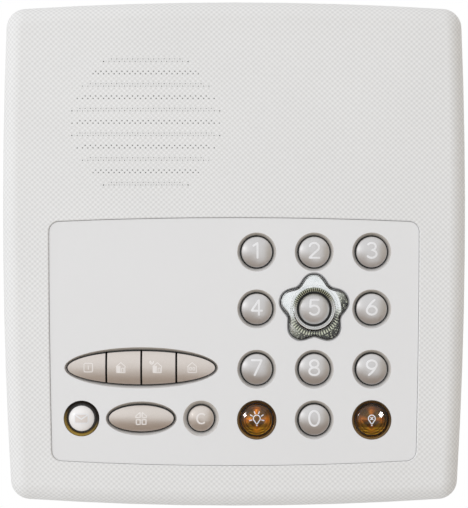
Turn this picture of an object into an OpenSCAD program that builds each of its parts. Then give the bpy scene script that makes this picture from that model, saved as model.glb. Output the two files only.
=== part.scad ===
// Wall-mounted alarm keypad panel with a speaker, a number pad and mode keys.
// Pieces are drawn flat, with u to the right, v up and w out from the wall, and are then
// stood upright: +X is right, +Z is up and the front faces -Y. The origin is the middle of
// the back, on the wall.

/* [Housing] */
// Greatest width of the housing
housing_w = 164.5; // [162:0.5:174]
// Height of the housing at its middle
housing_h = 179; // [166:1:192]
// Depth from the wall to the front face
housing_d = 40; // [38:1:48]
// Wall thickness of both covers
wall = 2.5; // [2.2:0.1:2.8]
// Height above the wall of the joint between the two covers
parting_d = 14; // [12:0.5:15]
// Radius of the outline's corners
corner_r = 7.5; // [7.2:0.1:9]
// Radius of the rounded front edge
edge_r = 6; // [5:0.25:6.5]
// How far the front cover's sides lean in
draft = 0.5; // [0.2:0.1:0.6]
// Radius of the bulged left and right sides
side_r = 1620; // [1200:20:2400]
// Height of the widest point above the middle
widest_v = 16; // [0:1:24]
// Radius of the bulged top edge
top_r = 1190; // [900:10:1800]
// Radius of the bulged bottom edge
bottom_r = 1110; // [900:10:1800]
// How far the rear cover steps in behind the front cover
rear_step = 0.8; // [0.4:0.1:1.2]
// Width of the bevel round the back
back_bevel = 3.2; // [2:0.2:3.4]

/* [Fascia] */
// Greatest width of the smooth fascia
fascia_w = 130; // [126:1:136]
// Height of the fascia as a share of the housing's height
fascia_share = 0.486; // [0.476:0.002:0.5]
// Distance of the fascia's bottom edge from the housing's
fascia_margin = 15.2; // [14:0.1:17]
// Thickness of the fascia
fascia_t = 2.4; // [2.2:0.1:3]
// How far the fascia sits below the housing's face
fascia_recess = 0.6; // [0.2:0.1:1]
// Radius of the fascia's corners
fascia_corner_r = 3.5; // [3:0.25:5]
// Gap between the fascia and its pocket
fascia_fit = 0.15; // [0.1:0.05:0.3]
// Width of the chamfer round the mouth of the fascia's pocket
pocket_chamfer = 0.4; // [0.2:0.1:0.8]

/* [Number pad] */
// Middle of the number pad, right of the housing's middle
pad_u = 28.2; // [26:0.2:29]
// Distance of the top row of keys from the fascia's top edge, as a share of the fascia's height
pad_top_share = 0.138; // [0.13:0.002:0.145]
// Distance between the columns of keys
column_pitch = 20.2; // [19:0.1:21]
// Distance from the first row to the second, as a share of the fascia's height
row_share_1 = 0.23; // [0.22:0.002:0.24]
// Distance from the second row to the third, as a share of the fascia's height
row_share_2 = 0.2437; // [0.235:0.0001:0.25]
// Distance from the third row to the fourth, as a share of the fascia's height
row_share_3 = 0.2046; // [0.2:0.0001:0.21]
// Radius of a number key, as a share of the distance from the first row to the second
number_share = 0.27; // [0.255:0.005:0.275]
// Height of the crown of a key
key_crown = 1.6; // [1:0.1:2]
// How far a key's rim lies below the fascia's face
rim_drop = 0.6; // [0.3:0.1:1]
// Travel of a key
key_travel = 1.2; // [0.8:0.1:1.3]
// Gap round a number key
key_gap = 0.5; // [0.4:0.05:0.6]
// How far a key well widens towards the front
well_flare = 0.95; // [0.7:0.05:1]
// Depth of the flared mouth of a key well
well_d = 1.2; // [0.8:0.1:1.4]

/* [Function keys] */
// Middle of the function keys, left of the housing's middle
function_u = -32.6; // [-35:0.1:-32]
// How far the function keys stand above the number pad's rows
function_rise = 0.5; // [0:0.1:1]
// Length of the row of mode keys
mode_w = 51.8; // [50:0.2:53]
// Height of the row of mode keys
mode_h = 11.6; // [11:0.1:12]
// Gap between two mode keys
mode_split = 0.7; // [0.5:0.1:1]
// Distance from the first mode key's seam to the middle seam
mode_seam = 12.3; // [11.8:0.1:12.8]
// Length of the home key
home_w = 22.7; // [21:0.1:23]
// Height of the home key
home_h = 9.1; // [8.5:0.1:9.5]
// Gap round the mode keys and the home key
oval_gap = 0.55; // [0.4:0.05:0.7]
// Radius of the clear key and the message key
small_r = 4.5; // [4.2:0.1:4.7]
// Distance of the clear key and the message key from the home key
small_pitch = 21; // [20.4:0.1:21.2]
// Width of the amber ring round the message key
ring_t = 1.15; // [1:0.05:1.2]

/* [Star lens] */
// Distance between the five-lobed lens and the well of the next key
star_gap = 0.95; // [0.9:0.05:1.2]
// How far each lobe swells out and each hollow draws in
star_swell = 1.35; // [1:0.05:1.4]
// How full the lobes are: at 1 the hollows are as wide as the lobes
star_fullness = 1.25; // [1:0.05:1.4]
// How far the lens stands proud of the fascia
star_proud = 0.5; // [0.2:0.1:1]
// How far the collar round the key stands above the lens
collar_h = 0.7; // [0.4:0.1:1]

/* [Speaker] */
// Middle of the speaker, left of the housing's middle
speaker_u = -31; // [-36:0.5:-30]
// Radius of the speaker, as a share of the face's height above the fascia
speaker_share = 0.371; // [0.36:0.001:0.375]
// Radius of the perforated field, as a share of the speaker's radius
grille_share = 0.923; // [0.86:0.001:0.93]
// Number of slots behind the perforations
slot_count = 11; // [9:2:13]
// Distance between perforations along a row
perforation_pitch = 1.85; // [1.6:0.05:2.4]
// Distance between the two rows of perforations over a slot
perforation_row = 0.88; // [0.8:0.02:1]
// Radius of a perforation
perforation_r = 0.27; // [0.22:0.01:0.36]
// Skin left in front of the slots
grille_skin = 0.8; // [0.6:0.1:1.2]
// Travel of the cone each way
cone_travel = 0.6; // [0.3:0.1:0.7]

/* [Inside] */
// Thickness of the circuit board
board_t = 1.6; // [1.2:0.2:2]
// Height of the rubber domes under the keys
dome_h = 2.6; // [2.4:0.1:3]
// Thickness of the keymat's sheet
keymat_t = 1; // [0.8:0.1:1.2]
// Radius of a battery cell
cell_r = 7.1; // [6.8:0.1:7.2]
// Length of a battery cell
cell_l = 50; // [48:0.5:51]
// Number of cells in the pack
cell_count = 4; // [3:1:4]
// Travel of the tamper plunger
tamper_travel = 3; // [2:0.5:4]

/* [Wall fixing] */
// Distance of the wall screws from the housing's sides
screw_in_u = 10.5; // [10:0.5:12]
// Distance of the wall screws from the housing's ends
screw_in_v = 12; // [11:0.5:13]
// Radius of the holes for the wall screws
wall_hole_r = 2.25; // [2:0.05:2.5]
// Radius of the cable entry
cable_r = 8; // [6:0.5:9]

/* [Hidden] */
$fn = 64;
through = 1;            // how far a cut runs past the face that it opens
press = 0.5;            // how far one moulded feature runs into the wall that carries it
seat_gap = 0.3;         // gap of pieces that meet without being fixed to each other
thread_gap = 0.05;      // gap between a screw's shank and its pilot hole
side_steps = 8;
corner_steps = 8;
edge_steps = 8;
number_key_names = [for (digit = [0:9]) str("number_key_", digit)];
mode_key_names = ["disarm_key", "part_arm_key", "night_arm_key", "full_arm_key"];

// Levels above the wall, from the front face inwards
inner_face = housing_d - wall;
fascia_front = housing_d - fascia_recess;
fascia_back = fascia_front - fascia_t;
ledge_t = 2;
ledge_back = fascia_back - ledge_t;
key_flange_t = 1.2;
key_seat = fascia_back - key_flange_t;
key_rim = fascia_front - rim_drop;
board_front = key_seat - dome_h - keymat_t;
board_back = board_front - board_t;

// Outlines: half width, top, bottom, height of the widest point, radii of the side, top and
// bottom edges, and corner radius
house = [housing_w / 2, housing_h / 2, -housing_h / 2, widest_v, side_r, top_r, bottom_r, corner_r];
fascia_side_r = 3400;
fascia_top_r = 1430;
fascia_bottom_r = 1100;
fascia_h = fascia_share * housing_h;
fascia_bottom = fascia_margin - housing_h / 2;
fascia_top = fascia_bottom + fascia_h;
fascia = [fascia_w / 2, fascia_top, fascia_bottom, widest_v, fascia_side_r, fascia_top_r,
          fascia_bottom_r, fascia_corner_r];
ledge_w = 3;
ledge_opening = shrink(fascia, ledge_w, 2);
frame_t = 2;            // wall round the fascia's pocket
keymat_inset = 6.2;
board_overlap = 1.5;    // how far the board reaches past the fascia's outline

// Key positions
row_pitch = fascia_h * [row_share_1, row_share_2, row_share_3];
number_r = number_share * row_pitch[0];
row_1 = fascia_top - pad_top_share * fascia_h;
row_2 = row_1 - row_pitch[0];
row_3 = row_2 - row_pitch[1];
rows = [row_1, row_2, row_3, row_3 - row_pitch[2]];
function pad_at(row, column) = [pad_u + (column - 1) * column_pitch, rows[row]];
function number_at(digit) =
    digit == 0 ? pad_at(3, 1) : pad_at(floor((digit - 1) / 3), (digit - 1) % 3);
star_at = number_at(5);
light_on_at = pad_at(3, 0);
light_off_at = pad_at(3, 2);
mode_at = [function_u, rows[2] + function_rise];
home_at = [function_u, rows[3] + function_rise];
clear_at = home_at + [small_pitch, 0];
message_at = home_at - [small_pitch, 0];
mode_seams = [-mode_seam, 0, mode_seam];
mode_ends = concat([-mode_w / 2], mode_seams, [mode_w / 2]);
mode_dome_u = [for (i = [0:3]) (mode_ends[i] + mode_ends[i + 1]) / 2];
home_dome_u = home_w / 4;
dome_points = concat(
    [for (digit = [0:9]) number_at(digit)], [light_on_at, light_off_at, clear_at, message_at],
    [for (u = mode_dome_u) mode_at + [u * 0.95, 0]],
    [for (side = [-1, 1]) home_at + [side * home_dome_u, 0]]);

// Key and well sizes
flange_lap = 0.6;       // how far a key's flange reaches past its hole
light_r = number_r;
light_gap = 0.45;
light_ring_t = 1;
lens_fit = 0.1;         // gap between a lens and the fascia
lens_flange_t = 0.8;
lens_flange_lap = 0.45;
ring_counter = 0.7;     // how far the seat inside a ring widens for the key's flange
small_gap = 0.55;
small_flare = 1.25;
oval_flare_u = 0.6;
oval_flare_v = 0.9;
star_r = row_pitch[0] - number_r - key_gap - well_flare - star_swell - star_gap;
star_flare = 0.75;
star_steps = 80;
star_bevel = 0.5;
star_bore_gap = 0.8;
star_skirt = 0.6;       // thickness of the lens's sides
star_skin = 0.6;        // thickness of the lens's top
insert_t = 0.8;         // thickness of the insert's lobes
collar_t = 1.3;
collar_lean = 0.3;      // how far the outside of the collar leans in
collar_bevel = 0.7;     // width of the bevel inside the collar's mouth
cap_wall = 1.2;
stem_r = 2.6;
dome_r = 4.5;
dome_top_r = 3;
dome_wall = 0.9;
pill_r = 1.5;

// Fixings
pilot_r = 1.05;
shank_r = pilot_r - thread_gap;
head_r = 2.4;
head_h = 1.5;
boss_r = 2.75;
board_boss_in = 1.6;
board_boss_v = [fascia_top - 3.5, fascia_top - fascia_h / 2, fascia_bottom + 3.7];
board_boss_at = [for (v = board_boss_v) for (side = [-1, 1])
    [side * (edge_u(fascia, v) - board_boss_in), v]];
board_screw_l = 4;
board_pilot_l = board_screw_l + 0.2;

// Speaker
face_h = housing_h / 2 - fascia_top;
speaker_r = speaker_share * face_h;
speaker_clear = 5.2;    // distance of the speaker from the fascia's top edge
speaker_at = [speaker_u, fascia_top + speaker_clear + speaker_r];
grille_r = grille_share * speaker_r;
slot_pitch = 1.98 * grille_r / (slot_count + 1);
cloth_t = 0.3;
gasket_t = 1.5;
speaker_front = inner_face - gasket_t;
speaker_flange_t = 1.5;
speaker_flange_back = speaker_front - speaker_flange_t;
basket_depth = 10.5;
basket_back = speaker_flange_back - basket_depth;
basket_r = 15;
basket_hole_r = 9;
basket_t = 0.8;
basket_slot = [12, 14, 5];
basket_slot_r = 0.7 * speaker_r;
magnet_t = 8;
magnet_floor = 2;
magnet_r = 13.5;
coil_gap_in = 6;
coil_gap_out = 8;
coil_r = 6.6;
coil_t = 0.7;
cone_depth = 7.5;
flange_w = 3;           // width of the speaker's flange
surround_w = 3.8;       // width of the roll between the flange and the cone
surround_r = speaker_r - flange_w;
cone_r = surround_r - surround_w;
surround_fit = 0.1;
speaker_fit = 0.3;
speaker_screw_r = speaker_r + 5.1;
speaker_screw_l = 2.8;
speaker_washer_r = 5.9;
speaker_screw_angles = [125, 225, 325];

// Wall fixings, battery, tamper switch and wiring
wall_screw_at = [housing_w / 2 - screw_in_u, housing_h / 2 - screw_in_v];
cable_at = [-30, fascia_bottom + 44.3];
terminal_at = [-30, fascia_bottom + 18.3];
terminal_size = [32, 9, 10];
terminal_ways = 6;
terminal_pitch = 5;
cell_pitch = 2 * cell_r - 0.1;
battery_in = [48.2, 39.5];   // distance of the pack's middle from the housing's side and top
battery_at = [housing_w / 2, housing_h / 2] - battery_in;
battery_w = (cell_count - 1) * cell_pitch + 2 * cell_r;
cell_gap = 0.2;         // gap under and over the cells
battery_top = wall + 2 * (cell_r + cell_gap);
rib_t = 1.6;
rib_h = 8;
clamp_w = 9;
clamp_t = 2;
clamp_screw_l = 6;
clamp_post_r = 3.4;
clamp_post_u = battery_w / 2 + rib_t + seat_gap + clamp_post_r - 0.8;
speaker_tag = [7, 3, 1.5];
speaker_tag_at = [13.4, speaker_r - 6.1];  // right of and below the speaker's middle
lead_u = [speaker_u + speaker_tag_at[0], battery_at[0] - (cell_count - 1) / 2 * cell_pitch];
wire_end_gap = 0.1;
socket_size = [8, 6, 5];
socket_v = fascia_top - 6.7;
wire_r = 0.6;
wire_gap = 1.1;         // half the distance between the two wires of a lead
tamper_at = [45, fascia_bottom + 20.3];
tamper_r = 2;
tamper_fit = 0.1;
tamper_collar_r = 3.6;
tamper_collar_t = 1.5;
guide_r = 4.5;
guide_h = 8;
tamper_switch_h = 3.5;
tamper_button_h = 0.8;
spring_r = 2.3;
spring_wire_r = 0.3;
spring_turns = 6;
cover_screw_u = 48;
cover_screw_w = 22;
cover_screw_l = 8;
post_w = 7;
pad_t = 1.2;
hook_u = 40;
hook_w = 12;
hook_rib_w = 20;
lip_t = 1.4;
lip_fit = 0.2;
lip_h = 3;

// Outline geometry
function polar(centre, radius, angle) = centre + radius * [cos(angle), sin(angle)];
function angle_of(d) = atan2(d[1], d[0]);
function flip(p) = [-p[0], p[1]];

// Where two circles meet, on the left (side 1) or right (side -1) of the line between them
function meet(p, a, q, b, side) =
    let (d = q - p, l = norm(d), x = (l * l + a * a - b * b) / (2 * l), y = sqrt(a * a - x * x))
    p + d / l * x + side * y / l * [-d[1], d[0]];

function fan(centre, radius, from, to, steps) =
    [for (i = [0:steps - 1]) [centre, radius, from + (to - from) * i / steps]];

// Points round an outline, each as an arc's centre, its radius and an angle, so that a point
// can be set in from the edge by a shorter radius
function stations(s) =
    let (right = [s[0] - s[4], s[3]], up = [0, s[1] - s[5]], down = [0, s[2] + s[6]],
         high = meet(right, s[4] - s[7], up, s[5] - s[7], 1),
         low = meet(right, s[4] - s[7], down, s[6] - s[7], -1),
         a = angle_of(high - right), b = angle_of(high - up),
         c = angle_of(low - right), d = angle_of(low - down))
    concat(
        fan(right, s[4], c, a, side_steps),
        fan(high, s[7], a, b, corner_steps),
        fan(up, s[5], b, 180 - b, side_steps),
        fan(flip(high), s[7], 180 - b, 180 - a, corner_steps),
        fan(flip(right), s[4], 180 - a, 180 - c, side_steps),
        fan(flip(low), s[7], 180 - c, 180 - d, corner_steps),
        fan(down, s[6], 180 - d, 360 + d, side_steps),
        fan(low, s[7], 360 + d, 360 + c, corner_steps));

function outline(s, inset) = [for (p = stations(s)) polar(p[0], p[1] - inset, p[2])];
function shrink(s, by, corner) =
    [s[0] - by, s[1] - by, s[2] + by, s[3], s[4] - by, s[5] - by, s[6] - by, corner];
function edge_u(s, v) = s[0] - s[4] + sqrt(s[4] * s[4] - pow(v - s[3], 2));
function bottom_v(s, u) = s[2] + s[6] - sqrt(s[6] * s[6] - u * u);
function top_v(s, u) = s[1] - s[5] + sqrt(s[5] * s[5] - u * u);
function oval(w, h) = [for (i = [0:59]) [w / 2 * cos(i * 6), h / 2 * sin(i * 6)]];
function hollow(a) = pow(0.5 - 0.5 * cos(5 * (a - 90)), star_fullness);
function star(grow) = [for (i = [0:star_steps - 1])
    let (a = i * 360 / star_steps) (star_r + grow + star_swell * (1 - 2 * hollow(a))) * [cos(a), sin(a)]];
function round_rim(r) = [for (i = [0:star_steps - 1]) polar([0, 0], r, i * 360 / star_steps)];
function lift(points, level) = [for (p = points) concat(p, level)];

// Stands a piece that is drawn flat upright
module upright() rotate([90, 0, 0]) children();

module at(place, w = 0) translate([place[0], place[1], w]) children();

module plate(points, from, to) translate([0, 0, from]) linear_extrude(to - from) polygon(points);

module rod(r, from, to) translate([0, 0, from]) cylinder(r = r, h = to - from);

module tube(r_out, r_in, from, to) difference() {
    rod(r_out, from, to);
    rod(r_in, from - through, to + through);
}

module block(size, from) translate([-size[0] / 2, -size[1] / 2, from]) cube(size);

// A tray whose edge is swept round an outline. The profile lists the inset and the level of each
// edge, from the floor's lower face round to its upper one.
module tray(shape, profile) {
    ring = stations(shape);
    n = len(ring);
    m = len(profile);
    polyhedron(
        points = [for (s = ring) for (p = profile) concat(polar(s[0], s[1] - p[0], s[2]), p[1])],
        faces = concat(
            [[for (i = [0:n - 1]) i * m]], [[for (i = [0:n - 1]) (n - i) * m - 1]],
            [for (i = [0:n - 1]) for (j = [0:m - 2])
                let (a = i * m + j, b = a + 1, d = ((i + 1) % n) * m + j, c = d + 1)
                each [[a, b, c], [a, c, d]]]));
}

// A solid between two outlines of as many points each
module taper(low, from, high, to) {
    n = len(low);
    polyhedron(
        points = concat([for (p = low) concat(p, from)], [for (p = high) concat(p, to)]),
        faces = concat(
            [[for (i = [0:n - 1]) i]], [[for (i = [0:n - 1]) 2 * n - 1 - i]],
            [for (i = [0:n - 1]) let (k = (i + 1) % n) each [[i, n + i, n + k], [i, n + k, k]]]));
}

// A closed ring through outlines of as many points each, from the outer foot over the top to the inner foot
module loft(rims) {
    m = len(rims);
    n = len(rims[0]);
    polyhedron(
        points = [for (rim = rims) each rim],
        faces = [for (j = [0:m - 1]) for (i = [0:n - 1])
            let (a = j * n + i, b = j * n + (i + 1) % n, c = (j + 1) % m * n + (i + 1) % n,
                 d = (j + 1) % m * n + i)
            each [[a, d, c], [a, c, b]]]);
}

// A tube of eight sides along a list of points
module wire(route, r) {
    n = len(route);
    sides = 8;
    function heading(i) = let (d = route[min(i + 1, n - 1)] - route[max(i - 1, 0)]) d / norm(d);
    function ring(i) = let (t = heading(i), a = cross(t, [1, 0, 0]), x = a / norm(a), y = cross(t, x))
        [for (k = [0:sides - 1]) route[i] + r * (cos(k * 360 / sides) * x + sin(k * 360 / sides) * y)];
    polyhedron(
        points = [for (i = [0:n - 1]) each ring(i)],
        faces = concat(
            [[for (k = [0:sides - 1]) k]], [[for (k = [0:sides - 1]) n * sides - 1 - k]],
            [for (i = [0:n - 2]) for (k = [0:sides - 1])
                let (a = i * sides + k, b = i * sides + (k + 1) % sides, c = b + sides, d = a + sides)
                each [[a, d, c], [a, c, b]]]));
}

// A screw whose head's underside lies at level 0, with the shank running up in w
module screw(length, head) {
    rod(shank_r, 0, length);
    difference() {
        rod(head, -head_h, 0);
        for (turn = [0, 90]) rotate(turn) block([head * 1.1, 0.5, 0.8], -head_h - 0.2);
    }
}

// Rear cover: floor, bevelled rim with a lip that fits inside the front cover, and what the floor carries
module rear_cover() color("#e4e3e1") upright() difference() {
    union() {
        tray(house, rear_profile());
        battery_cradle();
        at(tamper_at) rod(guide_r, wall - press, guide_h);
        for (side = [-1, 1]) {
            cover_screw_post(side);
            cover_hook(side);
        }
    }
    for (u = [-1, 1], v = [-1, 1])
        at([u * wall_screw_at[0], v * wall_screw_at[1]]) rod(wall_hole_r, -through, wall + through);
    at(cable_at) rod(cable_r, -through, wall + through);
    at(tamper_at) rod(tamper_r + tamper_fit, -through, guide_h + through);
}

// Bevel, wall and lip, from the outside of the floor round to its inside
function rear_profile() =
    let (inside = rear_step + wall, lip_in = wall + draft + lip_fit, lip_root = parting_d - lip_h)
    [[rear_step + back_bevel, 0], [rear_step, back_bevel], [rear_step, parting_d], [lip_in, parting_d],
     [lip_in, parting_d + lip_h], [lip_in + lip_t, parting_d + lip_h], [lip_in + lip_t, lip_root],
     [inside, lip_root - lip_t], [inside, back_bevel + 1], [rear_step + back_bevel + 2, wall]];

// Four ribs round the battery pack, with a notch for its lead, and two posts for its clamp
module battery_cradle() {
    inside = [battery_w + 2 * seat_gap, cell_l + 2 * seat_gap];
    at(battery_at) {
        difference() {
            block([inside[0] + 2 * rib_t, inside[1] + 2 * rib_t, rib_h + press], wall - press);
            block([inside[0], inside[1], rib_h + through], wall);
            translate([lead_u[1] - battery_at[0], -inside[1] / 2, 0])
                block([10, 4 * rib_t, rib_h], wall + rib_h / 2);
        }
        for (side = [-1, 1]) difference() {
            translate([side * clamp_post_u, 0, 0]) rod(clamp_post_r, wall - press, battery_top);
            translate([side * clamp_post_u, 0, 0]) rod(pilot_r, battery_top - 8, battery_top + through);
        }
    }
}

// Post that takes a cover screw through the front cover's bottom wall
function cover_wall_v() = bottom_v(house, cover_screw_u) + wall + draft;
module cover_screw_post(side) {
    face = cover_wall_v() + pad_t + seat_gap;
    translate([side * cover_screw_u, face, 0])
        block([post_w, 2.2, parting_d + lip_h - wall], wall - press);
    difference() {
        translate([side * cover_screw_u, face + post_w / 2, 0])
            block([post_w, post_w, cover_screw_w + post_w / 2 - wall + press], wall - press);
        translate([side * cover_screw_u, face, cover_screw_w])
            rotate([90, 0, 0]) rod(pilot_r, -post_w - through, through);
    }
}

// Hook that holds the front cover's top edge
module cover_hook(side) {
    inner = top_v(house, hook_u) - wall - draft;
    translate([side * hook_u, 0, 0]) {
        translate([0, inner - 3.9, 0])
            block([hook_w, 2.4, hook_rib_w + 5 - wall + press], wall - press);
        translate([0, inner - 2.7, 0]) block([hook_w, 4.4, 2.7], hook_rib_w + 2 + seat_gap);
    }
}

// Front cover: rounded rim, flat face with the perforated field, and what the face carries
module front_cover() color("#ecebe9") upright() difference() {
    union() {
        difference() {
            tray(house, cover_profile());
            at(speaker_at) rod(grille_r + wall, inner_face - through, housing_d + through);
            fascia_pocket();
        }
        at(speaker_at) grille();
        fascia_frame();
        for (p = board_boss_at) at(p) rod(boss_r, board_front, ledge_back);
        at(speaker_at) speaker_mount();
        for (side = [-1, 1]) {
            cover_screw_pad(side);
            cover_hook_rib(side);
        }
    }
    for (side = [-1, 1]) cover_screw_hole(side);
    for (p = board_boss_at) at(p) rod(pilot_r, board_front - through, board_front + board_pilot_l);
}

// Rounded edge and side, from the inside of the face round to its outside
function cover_profile() =
    let (c = [draft + edge_r, housing_d - edge_r], inner_r = edge_r - wall, inner_steps = edge_steps - 2)
    concat(
        [for (i = [0:inner_steps]) let (t = 90 - 90 * i / inner_steps) c + inner_r * [-cos(t), sin(t)]],
        [[wall, parting_d], [0, parting_d]],
        [for (i = [0:edge_steps]) let (t = 90 * i / edge_steps) c + edge_r * [-cos(t), sin(t)]]);

// Perforated field: two staggered rows of fine holes open into each slot behind the skin
module grille() difference() {
    rod(grille_r + wall, inner_face, housing_d);
    for (k = [-(slot_count - 1) / 2 : (slot_count - 1) / 2]) {
        half = sqrt(grille_r * grille_r - pow(k * slot_pitch, 2));
        translate([0, k * slot_pitch, 0]) {
            block([2 * half, perforation_row + 1, wall + through - grille_skin], inner_face - through);
            for (row = [0, 1]) {
                count = floor(half / perforation_pitch - row / 2);
                for (i = [-count : count - row])
                    translate([(i + row / 2) * perforation_pitch, (row - 0.5) * perforation_row, 0])
                        rod(perforation_r, inner_face, housing_d + through, $fn = 16);
            }
        }
    }
}

// Pocket for the fascia with a chamfered mouth
module fascia_pocket() {
    plate(outline(fascia, -fascia_fit), fascia_back, housing_d + through);
    taper(outline(fascia, -fascia_fit), housing_d - pocket_chamfer,
          outline(fascia, -fascia_fit - pocket_chamfer - 0.01), housing_d + 0.01);
}

// Ledge and wall round the fascia's pocket
module fascia_frame() difference() {
    plate(outline(fascia, -frame_t), ledge_back, inner_face);
    plate(outline(ledge_opening, 0), ledge_back - through, housing_d);
    fascia_pocket();
}

// Ring round the speaker and a boss for each of its screws
module speaker_mount() {
    tube(speaker_r + speaker_fit + 2, speaker_r + speaker_fit, speaker_flange_back, inner_face);
    for (a = speaker_screw_angles)
        at(polar([0, 0], speaker_screw_r, a)) difference() {
            rod(boss_r, speaker_flange_back, inner_face);
            rod(pilot_r, speaker_flange_back - through, inner_face);
        }
}

module cover_screw_pad(side) {
    translate([side * cover_screw_u, cover_wall_v() - press / 2 + pad_t / 2, 0])
        block([post_w + 2, pad_t + press, post_w + 1], cover_screw_w - (post_w + 1) / 2);
}

// Counterbored hole for a cover screw
function cover_head_v() = cover_wall_v() + pad_t - 1.6;
module cover_screw_hole(side) translate([side * cover_screw_u, 0, cover_screw_w]) rotate([90, 0, 0]) {
    rod(shank_r + 0.25, -cover_wall_v() - pad_t - through, -cover_wall_v() + through);
    rod(head_r + 0.4, -cover_head_v(), -cover_head_v() + 10);
}

module cover_hook_rib(side) {
    inner = top_v(house, hook_u) - wall - draft;
    translate([side * hook_u, inner - 1 + press / 2, 0])
        block([hook_w + 4, 2 + press, 2], hook_rib_w);
}

// Fascia: smooth plate with a flared well for each key and a hole for each lens
module keypad_fascia() color("#e2e1e1") upright() difference() {
    plate(outline(fascia, 0), fascia_back, fascia_front);
    for (digit = [0:9]) if (digit != 5)
        at(number_at(digit)) round_well(number_r + key_gap, well_flare);
    at(clear_at) round_well(small_r + small_gap, small_flare);
    at(message_at) round_well(small_r + small_gap + ring_t + lens_fit, 0);
    for (p = [light_on_at, light_off_at]) at(p) round_well(light_r + light_gap + light_ring_t + lens_fit, 0);
    at(home_at) oval_well(home_w, home_h);
    at(mode_at) oval_well(mode_w, mode_h);
    at(star_at) {
        plate(star(lens_fit), fascia_back - through, fascia_front + through);
        taper(star(lens_fit), fascia_front - star_flare, star(star_flare), fascia_front + 0.01);
    }
}

module round_well(r, flare) {
    rod(r, fascia_back - through, fascia_front + through);
    if (flare > 0) translate([0, 0, fascia_front - well_d]) cylinder(r1 = r, r2 = r + flare, h = well_d);
}

module oval_well(w, h) {
    low = oval(w + 2 * oval_gap, h + 2 * oval_gap);
    high = oval(w + 2 * (oval_gap + oval_flare_u), h + 2 * (oval_gap + oval_flare_v));
    plate(low, fascia_back - through, fascia_front + through);
    taper(low, fascia_front - well_d, high, fascia_front + 0.01);
}

// Star lens: clear five-lobed cap with a hole for the collar and a flange behind the fascia
star_bore_r = number_r + star_bore_gap;
star_top = fascia_front + star_proud;
collar_r = star_bore_r + collar_t;
teeth_r = star_r - star_swell - star_skirt - 2 * lens_fit;
module star_lens() color("#dfe6e4", 0.6) upright() at(star_at) loft([
    lift(star(lens_flange_lap), fascia_back - lens_flange_t), lift(star(lens_flange_lap), fascia_back),
    lift(star(0), fascia_back), lift(star(0), star_top - star_skin), lift(star(-star_bevel), star_top),
    lift(round_rim(collar_r + lens_fit), star_top),
    lift(round_rim(collar_r + lens_fit), star_top - star_skin),
    lift(star(-star_skirt), star_top - star_skin), lift(star(-star_skirt), fascia_back - lens_flange_t)]);

// Star insert: plated piece inside the lens, with lobes, a ring of teeth and a collar round the middle key
module star_insert() color("#c9cdc9") upright() at(star_at) difference() {
    lobes_top = fascia_back - lens_flange_t + insert_t;
    teeth_top = star_top - star_skin - lens_fit;
    union() {
        plate(star(-star_skirt - lens_fit), fascia_back - lens_flange_t, lobes_top);
        rod(teeth_r, lobes_top - press, teeth_top);
        translate([0, 0, teeth_top - press])
            cylinder(r1 = collar_r, r2 = collar_r - collar_lean, h = star_top + collar_h - teeth_top + press);
    }
    rod(star_bore_r, fascia_back - lens_flange_t - through, star_top + collar_h + through);
    rod(number_r + key_gap + flange_lap + seat_gap, fascia_back - lens_flange_t - through, fascia_back);
    translate([0, 0, star_top + collar_h - collar_bevel])
        cylinder(r1 = star_bore_r, r2 = star_bore_r + collar_bevel + 0.01, h = collar_bevel + 0.01);
}

// Ring lens: flared amber ring that a key moves in
module ring_lens(bore, width) {
    body_r = bore + width;
    difference() {
        union() {
            rod(body_r + lens_flange_lap, fascia_back - lens_flange_t, fascia_back);
            rod(body_r, fascia_back, fascia_front);
        }
        rod(bore, fascia_back - lens_flange_t - through, fascia_front + through);
        rod(bore + ring_counter, fascia_back - lens_flange_t - through, fascia_back);
        translate([0, 0, fascia_front - well_d]) cylinder(r1 = bore, r2 = body_r - 0.25, h = well_d);
    }
}
module message_ring() color("#6b4a10", 0.8) upright() at(message_at)
    ring_lens(small_r + small_gap, ring_t);
module light_ring(p) color("#5a3a08", 0.8) upright() at(p)
    ring_lens(light_r + light_gap, light_ring_t);

// Round key: crowned cap with a flange behind the fascia and a stem on the keymat's dome
module round_key(r, flange_r) difference() {
    crown_r = (r * r + key_crown * key_crown) / (2 * key_crown);
    union() {
        rod(flange_r, key_seat, fascia_back);
        intersection() {
            rod(r, key_seat, key_rim + key_crown);
            translate([0, 0, key_rim + key_crown - crown_r]) sphere(r = crown_r);
        }
    }
    tube(r - cap_wall, stem_r, key_seat - through, key_rim - cap_wall);
}

module number_key(digit) color("#c9c8c6") upright() at(number_at(digit))
    round_key(number_r, number_r + key_gap + flange_lap);
module light_key(p) color("#a8650f", 0.85) upright() at(p)
    round_key(light_r, light_r + light_gap + ring_counter - 0.15);
module clear_key() color("#c3bbb4") upright() at(clear_at)
    round_key(small_r, small_r + small_gap + flange_lap);
module message_key() color("#f2f1f0") upright() at(message_at)
    round_key(small_r, small_r + small_gap + ring_counter - 0.15);

// Oval key: barrel-crowned cap, drawn whole and then cut into single keys
module oval_key(w, h) {
    flange = 2 * (oval_gap + flange_lap);
    plate(oval(w + flange, h + flange), key_seat, fascia_back);
    intersection() {
        plate(oval(w, h), key_seat, key_rim + key_crown);
        barrel(w, h);
    }
}

// Barrel whose top is crowned both along and across the key
module barrel(w, h) {
    r = (h * h / 4 + key_crown * key_crown) / (2 * key_crown);
    sag = key_crown * 0.6;
    bow = (w * w / 4 + sag * sag) / (2 * sag);
    steps = 12;
    translate([0, 0, key_rim + key_crown - r]) rotate([0, 90, 0]) rotate_extrude()
        polygon(concat([[0, -w], [0, w]],
            [for (i = [0:steps]) let (x = w * (0.5 - i / steps))
                [r - bow + sqrt(bow * bow - x * x), x * 1.001]]));
}

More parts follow.
